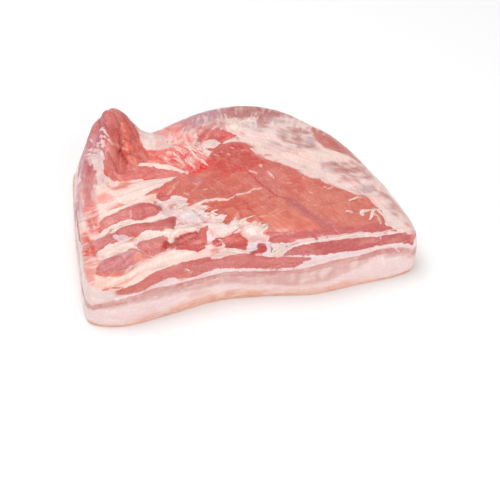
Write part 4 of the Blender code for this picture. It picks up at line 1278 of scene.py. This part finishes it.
def store(piece, name, values, kind="FLOAT"):
    layer = piece.data.attributes.new(name, kind, "POINT")
    field = {"FLOAT": "value", "FLOAT_VECTOR": "vector", "FLOAT_COLOR": "color"}[kind]
    layer.data.foreach_set(field, np.ascontiguousarray(values, np.float32).ravel())


def inside_box(points, margin=0.15):
    low, high = np.array(cad_box) / MM
    return np.clip(points, low + margin, high - margin)


def build_meat():
    points, quads, station, count = dense_slab()
    normals = vertex_normals(points, quads)
    walls = len(station)
    everywhere = np.arange(len(points)) < walls
    edge_noise = 0.12 * noise(points, 5.0, 61)
    side = np.zeros(len(points))
    side[:walls] = eased((0.72 - normals[:walls, 2] + edge_noise[:walls]) / 0.3)
    # The upper half of the left wall belongs to the folded corner's outer face.
    outer = eased((-points[:, 0] - 88.0) / 14.0) * eased((points[:, 1] + 34.0) / 34.0)
    ragged = 22.0 * edge_noise + 5.0 * layered_noise(points * [1.0, 1.0, 0.3], 13.0, 63)
    outer = outer * eased((points[:, 2] - 20.0 + ragged) / 6.0)
    side *= 1.0 - outer

    above, blood = paint_top(points, Flow())
    beside = paint_sides(station, points[:walls, 2], points[:walls])
    mixed = {}
    for field in ("flesh", "meat", "fat", "relief"):
        over = getattr(above, field).copy()
        share = side[:walls]
        if over.ndim == 2:
            share = share[:, None]
        over[:walls] = (1.0 - share) * over[:walls] + share * getattr(beside, field)
        mixed[field] = over

    # Fibres: down the sheet on top, along the layers on the cut faces.
    x, y, z = points.T
    turn = np.radians(20.0)
    across = x * np.cos(turn) + y * np.sin(turn)
    along = -x * np.sin(turn) + y * np.cos(turn)
    facing = normals[:, :2] / (np.linalg.norm(normals[:, :2], axis=1)[:, None] + 1e-6)
    round_it = -facing[:, 1] * x + facing[:, 0] * y
    grain = np.stack([(1 - side) * across + side * z, (1 - side) * along + side * round_it,
                      (1 - side) * z + side * 7.0], 1)

    lean = eased(mixed["flesh"] / 1.6 + 0.5)
    lumps = 0.30 * layered_noise(points, 13.0, 71) + 0.14 * noise(points, 4.5, 75)
    fibrous = np.stack([grain[:, 0], 0.16 * grain[:, 1], grain[:, 2]], 1)
    strands = noise(fibrous, 2.2, 81)
    relief = mixed["relief"] + lumps + lean * 0.16 * strands
    relief = relief + (1.0 - lean) * 0.22 * ridged(points, 5.0, 83)
    relief[:] += blood * (1 - side) * 0.45 * noise(points * [1.0, 0.3, 1.0], 2.6, 85)
    relief = relief - side * (0.30 * lean - 0.16 * noise(fibrous, 1.8, 87))
    foot = eased(points[:, 2] / 6.0)
    points = points + normals * (relief * foot)[:, None]
    points[:, 2] = np.maximum(points[:, 2], 0.5 * RIND_DEPTH)
    points = inside_box(points)

    faces = [list(range(count))[::-1]] + quads.tolist()
    piece = new_mesh("belly_meat", points, faces)
    store(piece, "flesh", mixed["flesh"])
    store(piece, "grain", grain, "FLOAT_VECTOR")
    opaque = np.ones((len(points), 1))
    store(piece, "meat_tint", np.hstack([mixed["meat"], opaque]), "FLOAT_COLOR")
    store(piece, "fat_tint", np.hstack([mixed["fat"], opaque]), "FLOAT_COLOR")
    store(piece, "cut", side)
    return piece


STRAND_SIDES = 8
LONGEST_STEP = 3.0  # a strand that leaps further than this has missed the face it lies on

# Tufts of torn fat: where, how many, heading, spread, length, width, thickness and lift.
TUFTS = [
    ([(-2, -97), (0, -90), (6, -91), (8, -98), (4, -102)], 7, 34, 8, 7.0, 1.9, 0.5, 0.7),
    ([(-26, -70), (-20, -73), (-14, -78), (-16, -84), (-28, -78)], 4, 22, 14, 6.0, 1.6, 0.4, 0.4),
    ([(-44, -58), (-38, -50), (-30, -54), (-27, -61), (-36, -66)], 8, 22, 14, 7.0,
     1.9, 0.5, 0.5),
    ([(-60, -46), (-52, -42), (-46, -46), (-52, -52)], 4, 30, 18, 6.0, 1.6, 0.4, 0.4),
    ([(20, 62), (22, 76), (29, 80), (31, 66)], 6, 70, 10, 7.0, 1.7, 0.5, 0.3),
    ([(-22, 44), (-18, 50), (-10, 44), (-10, 30), (-16, 26)], 8, 112, 16, 6.5, 1.6, 0.8, 0.8),
    ([(-40, 40), (-30, 46), (-22, 40), (-22, 20), (-32, 16)], 7, 122, 12, 8.0, 1.2, 0.7, 0.5),
]

# Single strings of membrane: plan path, width, thickness and lift of the far end.
STRINGS = [
    ([(94, -88), (98, -83), (104, -82), (112, -82)], 2.4, 0.6, 0.2),
    ([(108, -83), (105, -87), (101, -94), (99, -97)], 2.6, 0.6, 0.3),
    ([(106, -85), (108, -92), (109, -99)], 1.2, 0.5, 0.3),
    ([(111, -83), (114, -91), (113, -100)], 1.1, 0.5, 0.2),
    ([(91, -67), (94, -65), (100, -62), (105, -64)], 1.4, 0.5, 0.3),
    ([(-29, -101), (-28, -106), (-26, -110)], 1.5, 0.8, 0.1),
    ([(-6, -81), (0, -77), (6, -76)], 1.2, 0.6, 0.4),
    ([(4, -98), (12, -93)], 1.8, 0.7, 0.5),
    ([(6, -102), (13, -97)], 1.5, 0.7, 0.5),
    ([(-44, -53), (-38, -48), (-31, -43), (-24, -41)], 2.6, 0.8, 0.0),
    ([(-34, -59), (-27, -60), (-21, -65)], 1.8, 0.8, 0.5),
    ([(-95, 73), (-92, 68), (-89, 61)], 1.2, 0.4, 0.2),
    ([(-109, 58), (-104, 50), (-101, 43)], 1.1, 0.4, 0.2),
    ([(-10, 45), (-8, 39), (-9, 34)], 1.8, 0.9, 0.8),
    ([(-16, 50), (-14, 42), (-10, 38)], 1.4, 0.8, 0.8),
]


# Strings along the top of the front cut: paths in x and height.
CUT_STRINGS = [
    ([(22, 49.5), (26, 51.5), (31, 51), (37, 53.5), (46, 54.5)], 1.1, 0.6, 0.2),
    ([(12, 46), (15, 49), (19, 51.5), (24, 50)], 1.7, 0.8, 0.3),
    ([(8, 43.5), (12, 43), (16, 46), (19, 50)], 1.5, 0.8, 0.3),
    ([(12, 40.5), (16, 42), (19, 45.5)], 1.6, 0.8, 0.2),
    ([(10, 51), (12, 47), (11, 43)], 1.2, 0.7, 0.3),
    ([(-32, 58), (-30, 54), (-24, 49.5), (-12, 46.5)], 1.4, 0.7, 0.1),
    ([(-36, 47), (-28, 46), (-20, 45)], 1.4, 0.6, 0.1),
    ([(50, 51.6), (62, 51), (76, 49.8), (90, 47.8), (104, 45.8)], 1.0, 0.5, 0.1),
    ([(52, 53), (66, 52.4), (80, 51.2)], 0.8, 0.4, 0.1),
    ([(19, 44), (25, 48), (34, 51), (50, 51.6)], 1.2, 0.5, 0.1),
    ([(-61, 40), (-59, 38), (-57, 37)], 0.8, 0.4, 0.1),
    ([(-25, 49), (-19, 47), (-13, 45.6), (-8, 45.2)], 1.6, 0.8, 0.1),
]


def surface_tree(piece):
    corners = [Vector(v.co) / MM for v in piece.data.vertices]
    return BVHTree.FromPolygons(corners, [list(p.vertices) for p in piece.data.polygons][1:])


def on_top(tree, x, y):
    return tree.ray_cast(Vector((x, y, 150.0)), Vector((0.0, 0.0, -1.0)))[:2]


def on_front(tree, x, z):
    return tree.ray_cast(Vector((x, -400.0, z)), Vector((0.0, 1.0, 0.0)))[:2]


def strand(tree, cast, path, width, thick, lift, wobble, rng):
    """A flat tapered strip of membrane that lies along a path, its far end raised."""
    path = np.array(path, float)
    lengths = np.concatenate([[0.0], np.cumsum(np.hypot(*np.diff(path, axis=0).T))])
    steps = max(6, int(lengths[-1] / 0.8))
    run = np.linspace(0.0, lengths[-1], steps + 1)
    flat = np.stack([np.interp(run, lengths, path[:, axis]) for axis in (0, 1)], 1)
    part = run / lengths[-1]
    for turn, push in enumerate(rng.normal(0.0, 1.0, (4, 2)), 1):
        flat += wobble * push / turn * np.sin(np.pi * turn * part)[:, None]
    hits = [cast(tree, *spot) for spot in flat]
    if any(spot is None for spot, _ in hits):
        return None
    spots = np.array([tuple(spot) for spot, _ in hits])
    ups = np.array([tuple(up) for _, up in hits])
    if np.linalg.norm(np.diff(spots, axis=0), axis=1).max() > LONGEST_STEP:
        return None
    rings = []
    turns = np.linspace(0.0, 2.0 * np.pi, STRAND_SIDES, endpoint=False)
    for index in range(steps + 1):
        up = ups[index]
        ahead = spots[min(index + 1, steps)] - spots[max(index - 1, 0)]
        aside = np.cross(up, ahead)
        aside /= np.linalg.norm(aside) + 1e-6
        taper = 0.22 + 0.78 * np.sin(np.pi * min(1.0, 0.12 + 0.88 * part[index])) ** 0.6
        half = 0.5 * width * taper * (1.0 + 0.18 * rng.normal())
        raised = lift * part[index] ** 2 + 0.25 * thick
        rings.append(spots[index] + up * raised + np.cos(turns)[:, None] * aside * half
                     + np.sin(turns)[:, None] * up * 0.5 * thick * taper)
    return np.array(rings)


def join_strands(strands):
    points = []
    faces = []
    first = 0
    for rings in strands:
        count = len(rings)
        points.append(rings.reshape(-1, 3))
        for ring in range(count - 1):
            for side in range(STRAND_SIDES):
                a = first + ring * STRAND_SIDES + side
                b = first + ring * STRAND_SIDES + (side + 1) % STRAND_SIDES
                faces.append([a, b, b + STRAND_SIDES, a + STRAND_SIDES])
        faces.append([first + side for side in range(STRAND_SIDES)][::-1])
        last = first + (count - 1) * STRAND_SIDES
        faces.append([last + side for side in range(STRAND_SIDES)])
        first += count * STRAND_SIDES
    return np.concatenate(points), faces


def scatter_strands(rng, outline, count, heading, spread, length, width):
    """Paths for short shreds inside a plan outline, all pointing roughly one way."""
    corners = np.array(outline, float)
    paths = []
    while len(paths) < count:
        x, y = rng.uniform(corners.min(0), corners.max(0))
        if signed_inside(np.array([x]), np.array([y]), outline)[0] < 0.0:
            continue
        turn = np.radians(heading + spread * rng.normal())
        reach = length * rng.uniform(0.5, 1.4)
        bend = turn + 0.5 * rng.normal()
        middle = (x + 0.5 * reach * np.cos(turn), y + 0.5 * reach * np.sin(turn))
        end = (middle[0] + 0.5 * reach * np.cos(bend), middle[1] + 0.5 * reach * np.sin(bend))
        paths.append(([(x, y), middle, end], width * rng.uniform(0.6, 1.5)))
    return paths


def build_shreds(meat):
    """Torn skin, tufts of fat and strings of membrane lying on the meat."""
    tree = surface_tree(meat)
    rng = np.random.default_rng(17)
    wanted = [(on_top, *held) for held in STRINGS] + [(on_front, *held) for held in CUT_STRINGS]
    for outline, count, heading, spread, length, width, thick, lift in TUFTS:
        for path, across in scatter_strands(rng, outline, count, heading, spread, length, width):
            wanted.append((on_top, path, across, thick, lift))
    strands = [strand(tree, cast, path, width, thick, lift, 0.05 * width + 0.12, rng)
               for cast, path, width, thick, lift in wanted]
    points, faces = join_strands([rings for rings in strands if rings is not None])
    points = inside_box(points)
    piece = new_mesh("belly_shreds", points, faces)
    flat = np.stack([points[:, 0], points[:, 1], 0 * points[:, 0]], 1)
    pale = eased(0.5 + 0.5 * noise(flat, 6.0, 161))[:, None]
    tint = pale * shade(255, 240, 229) + (1.0 - pale) * shade(250, 214, 204)
    opaque = np.ones((len(points), 1))
    store(piece, "flesh", np.full(len(points), -6.0))
    store(piece, "grain", points, "FLOAT_VECTOR")
    store(piece, "meat_tint", np.hstack([tint, opaque]), "FLOAT_COLOR")
    store(piece, "fat_tint", np.hstack([tint, opaque]), "FLOAT_COLOR")
    store(piece, "cut", np.zeros(len(points)))
    return piece


def build_rind():
    """The skin under the meat: a thin closed plate that follows the foot of the slab."""
    columns = 160
    rows = 138
    ring, inward = plan_ring(columns, rows)
    middle = cad_middle()
    _, swell, _, _ = edge_sizes(ring)
    count = len(ring)
    flat = np.column_stack([ring, 0.0 * ring[:, 0]])
    wave = noise(flat, 16.0, 91)
    fine = noise(flat, 4.0, 93)
    profile = [(0.0, 1.1), (0.12, 0.45), (0.45, 0.1), (0.85, 0.0), (1.0, 0.35), (1.02, 2.4)]
    rings = []
    for part, set_in in profile:
        depth = RIND_DEPTH + 0.35 * wave + 0.12 * fine
        out = 0.25 - set_in + 0.25 * fine
        plan = ring - inward * out[:, None]
        rings.append(np.column_stack([plan, part * depth]))
    points = np.concatenate(rings) - middle
    here = np.arange(count)
    then = np.roll(here, -1)
    quads = [np.stack([here + low, then + low, then + low + count, here + low + count], 1)
             for low in np.arange(len(rings) - 1) * count]
    last = (len(rings) - 1) * count
    faces = [list(range(count))[::-1]] + np.concatenate(quads).tolist()
    faces.append(list(range(last, last + count)))
    return new_mesh("belly_rind", inside_box(points, 0.05), faces)


# ----------------------------------------------------------------------------- materials


class Graph:
    """Short calls for one material's nodes."""

    def __init__(self, name):
        self.material = bpy.data.materials.new(name)
        self.material.use_nodes = True
        self.nodes = self.material.node_tree.nodes
        self.links = self.material.node_tree.links
        self.surface = self.nodes["Principled BSDF"]

    def fill(self, socket, value):
        if isinstance(value, bpy.types.NodeSocket):
            self.links.new(value, socket)
        elif isinstance(value, tuple) and len(value) == 3 and socket.type == "RGBA":
            socket.default_value = (*value, 1.0)
        else:
            socket.default_value = value

    def set(self, **values):
        for name, value in values.items():
            self.fill(self.surface.inputs[name.replace("_", " ")], value)

    def attribute(self, name, output="Fac"):
        node = self.nodes.new("ShaderNodeAttribute")
        node.attribute_name = name
        return node.outputs[output]

    def place(self):
        return self.nodes.new("ShaderNodeTexCoord").outputs["Object"]

    def math(self, kind, a, b=0.0, c=0.0):
        node = self.nodes.new("ShaderNodeMath")
        node.operation = kind
        for socket, value in zip(node.inputs, (a, b, c)):
            self.fill(socket, value)
        return node.outputs[0]

    def stretched(self, vector, scale):
        node = self.nodes.new("ShaderNodeVectorMath")
        node.operation = "MULTIPLY"
        self.fill(node.inputs[0], vector)
        node.inputs[1].default_value = scale
        return node.outputs[0]

    def noise(self, vector, scale, detail=2.0, warp=0.0):
        node = self.nodes.new("ShaderNodeTexNoise")
        self.fill(node.inputs["Vector"], vector)
        node.inputs["Scale"].default_value = scale
        node.inputs["Detail"].default_value = detail
        node.inputs["Distortion"].default_value = warp
        return node.outputs["Fac"]

    def cells(self, vector, scale, feature="F1"):
        node = self.nodes.new("ShaderNodeTexVoronoi")
        node.feature = feature
        self.fill(node.inputs["Vector"], vector)
        node.inputs["Scale"].default_value = scale
        return node.outputs["Distance"]

    def step(self, value, low, high, to_low=0.0, to_high=1.0):
        node = self.nodes.new("ShaderNodeMapRange")
        node.interpolation_type = "SMOOTHSTEP"
        for socket, held in zip(node.inputs, (value, low, high, to_low, to_high)):
            self.fill(socket, held)
        return node.outputs[0]

    def mix(self, factor, a, b, blend="MIX"):
        node = self.nodes.new("ShaderNodeMix")
        node.data_type = "RGBA"
        node.blend_type = blend
        self.fill(node.inputs[0], factor)
        self.fill(node.inputs[6], a)
        self.fill(node.inputs[7], b)
        return node.outputs[2]

    def bump(self, height, strength, distance, under=None):
        node = self.nodes.new("ShaderNodeBump")
        node.inputs["Strength"].default_value = strength
        node.inputs["Distance"].default_value = distance
        self.fill(node.inputs["Height"], height)
        if under is not None:
            self.fill(node.inputs["Normal"], under)
        return node.outputs[0]


def soft_flesh(graph, weight, radius, scale, coat):
    graph.set(Subsurface_Weight=weight, Subsurface_Radius=radius, Subsurface_Scale=scale,
              Coat_Weight=coat, Coat_Roughness=0.22, Specular_IOR_Level=0.4)


def meat_material():
    g = Graph("belly_flesh")
    flesh = g.attribute("flesh")
    grain = g.attribute("grain", "Vector")
    meat = g.attribute("meat_tint", "Color")
    fat = g.attribute("fat_tint", "Color")
    place = g.place()

    # Edge between lean and fat: wandering, then ragged.
    wander = g.math("MULTIPLY", g.math("SUBTRACT", g.noise(place, 260.0, 3.0), 0.5), 2.6)
    ragged = g.math("MULTIPLY", g.math("SUBTRACT", g.noise(place, 1100.0, 3.0), 0.5), 1.4)
    edge = g.math("ADD", flesh, g.math("ADD", wander, ragged))
    lean = g.step(edge, -0.35, 0.45)

    # Lean: long fibre bundles, fine fibres, pale marbling threads and darker wells.
    bundles = g.noise(g.stretched(grain, (0.42, 0.035, 0.3)), 1.0, 3.0, 0.4)
    fibres = g.noise(g.stretched(grain, (2.1, 0.14, 1.6)), 1.0, 3.0, 0.2)
    threads = g.noise(g.stretched(grain, (0.9, 0.06, 0.7)), 1.0, 4.0, 0.8)
    mottle = g.noise(place, 120.0, 4.0)
    meat = g.mix(g.step(bundles, 0.35, 0.68, 0.0, 0.34), meat, (0.60, 0.060, 0.044))
    meat = g.mix(g.step(fibres, 0.48, 0.72, 0.0, 0.30), meat, (0.80, 0.36, 0.27))
    meat = g.mix(g.step(threads, 0.62, 0.70, 0.0, 0.38), meat, (0.87, 0.55, 0.46))
    meat = g.mix(g.step(mottle, 0.50, 0.70, 0.0, 0.22), meat, (0.42, 0.050, 0.045))

    specks = g.noise(place, 820.0, 2.0)
    busy = g.step(g.noise(place, 45.0, 2.0), 0.35, 0.65, 0.35, 1.0)
    meat = g.mix(g.math("MULTIPLY", busy, g.step(specks, 0.53, 0.72, 0.0, 0.36)), meat,
                 (0.88, 0.54, 0.46))
    meat = g.mix(g.math("MULTIPLY", busy, g.step(specks, 0.47, 0.31, 0.0, 0.30)), meat,
                 (0.46, 0.060, 0.055))

    # Fat: lobules parted by faint pinkish walls, with warmer and cooler patches.
    lobes = g.cells(place, 330.0, "DISTANCE_TO_EDGE")
    patch = g.noise(place, 70.0, 3.0)
    fat = g.mix(g.step(lobes, 0.10, 0.0, 0.0, 0.28), fat, (0.80, 0.47, 0.42))
    fat = g.mix(g.step(patch, 0.52, 0.74, 0.0, 0.30), fat, (0.86, 0.56, 0.50))
    fat = g.mix(g.step(patch, 0.48, 0.28, 0.0, 0.35), fat, (0.97, 0.83, 0.77))

    crumbs = g.noise(place, 950.0, 2.0)
    fat = g.mix(g.step(crumbs, 0.54, 0.72, 0.0, 0.30), fat, (0.78, 0.42, 0.38))

    colour = g.mix(lean, fat, meat)
    rough = g.step(g.noise(place, 90.0, 4.0), 0.35, 0.7, 0.36, 0.56)
    fine = g.math("ADD", g.math("MULTIPLY", fibres, lean),
                  g.math("MULTIPLY", g.step(lobes, 0.0, 0.16), g.math("SUBTRACT", 1.0, lean)))
    grit = g.noise(place, 1500.0, 3.0)
    normal = g.bump(fine, 0.55, 0.0005)
    normal = g.bump(grit, 0.35, 0.00022, normal)
    normal = g.bump(lean, 0.4, -0.00025, normal)
    g.set(Base_Color=colour, Roughness=rough, Normal=normal)
    soft_flesh(g, 0.16, (1.0, 0.32, 0.2), 0.0018, 0.25)
    return g.material


def rind_material():
    g = Graph("belly_rind_skin")
    place = g.place()
    pores = g.cells(place, 900.0)
    patch = g.noise(place, 60.0, 4.0)
    colour = g.mix(g.step(patch, 0.35, 0.7), (0.84, 0.49, 0.37), (0.74, 0.36, 0.26))
    colour = g.mix(g.step(pores, 0.16, 0.04, 0.0, 0.55), colour, (0.45, 0.20, 0.14))
    normal = g.bump(g.step(pores, 0.05, 0.3), 0.5, 0.0003)
    normal = g.bump(g.noise(place, 700.0, 3.0), 0.3, 0.0002, normal)
    g.set(Base_Color=colour, Roughness=g.step(patch, 0.3, 0.7, 0.40, 0.55), Normal=normal)
    soft_flesh(g, 0.25, (1.0, 0.4, 0.25), 0.0015, 0.1)
    return g.material


def floor_material():
    g = Graph("studio_floor")
    g.set(Base_Color=(0.96, 0.96, 0.96), Roughness=0.7)
    return g.material


meat = build_meat()
meat.data.materials.append(meat_material())
shreds = build_shreds(meat)
shreds.data.materials.append(meat.data.materials[0])
rind = build_rind()
rind.data.materials.append(rind_material())
for piece in (meat, rind, shreds):
    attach(piece, "root")
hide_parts("belly_slab")

# -------------------------------------------------------------------------------- studio


def area_light(name, where, aim, size, power, colour=(1.0, 1.0, 1.0)):
    light = bpy.data.lights.new(name, "AREA")
    light.shape = "RECTANGLE"
    light.size, light.size_y = size
    light.energy = power
    light.color = colour
    lamp = bpy.data.objects.new(name, light)
    lamp.location = where
    lamp.rotation_euler = (Vector(aim) - Vector(where)).to_track_quat("-Z", "Y").to_euler()
    bpy.context.scene.collection.objects.link(lamp)


floor = new_mesh("floor", [(-3000, -3000, 0), (3000, -3000, 0), (3000, 3000, 0),
                           (-3000, 3000, 0)], [(0, 1, 2, 3)], False)
floor.data.materials.append(floor_material())

area_light("overhead", (-0.25, 0.35, 1.5), (0.0, 0.0, 0.0), (1.2, 0.9), 12.5)
area_light("front_fill", (0.3, -1.6, 0.9), (0.0, 0.0, 0.02), (1.6, 0.9), 13.5)
area_light("left_fill", (-1.5, -0.2, 0.7), (0.0, 0.0, 0.02), (0.9, 0.9), 2.5)

world = bpy.data.worlds.new("studio")
world.use_nodes = True
world.node_tree.nodes["Background"].inputs["Color"].default_value = (1.0, 1.0, 1.0, 1.0)
world.node_tree.nodes["Background"].inputs["Strength"].default_value = 0.50
bpy.context.scene.world = world
bpy.context.scene.view_settings.view_transform = "Standard"

# The photograph's viewing angle.
AZIMUTH = np.radians(-15.0)
ELEVATION = np.radians(36.0)
DISTANCE = 1.3
FOCAL_PIXELS = 1511.6
AIM = Vector((0.00999, -0.04825, 0.0))

away = Vector((np.sin(AZIMUTH) * np.cos(ELEVATION), -np.cos(AZIMUTH) * np.cos(ELEVATION),
               np.sin(ELEVATION)))
lens = bpy.data.cameras.new("photo_view")
lens.lens = FOCAL_PIXELS * 36.0 / 500.0
lens.sensor_width = 36.0
camera = bpy.data.objects.new("photo_view", lens)
camera.location = AIM + away * DISTANCE
camera.rotation_euler = (-away).to_track_quat("-Z", "Y").to_euler()
bpy.context.scene.collection.objects.link(camera)
bpy.context.scene.camera = camera

bpy.context.view_layer.update()
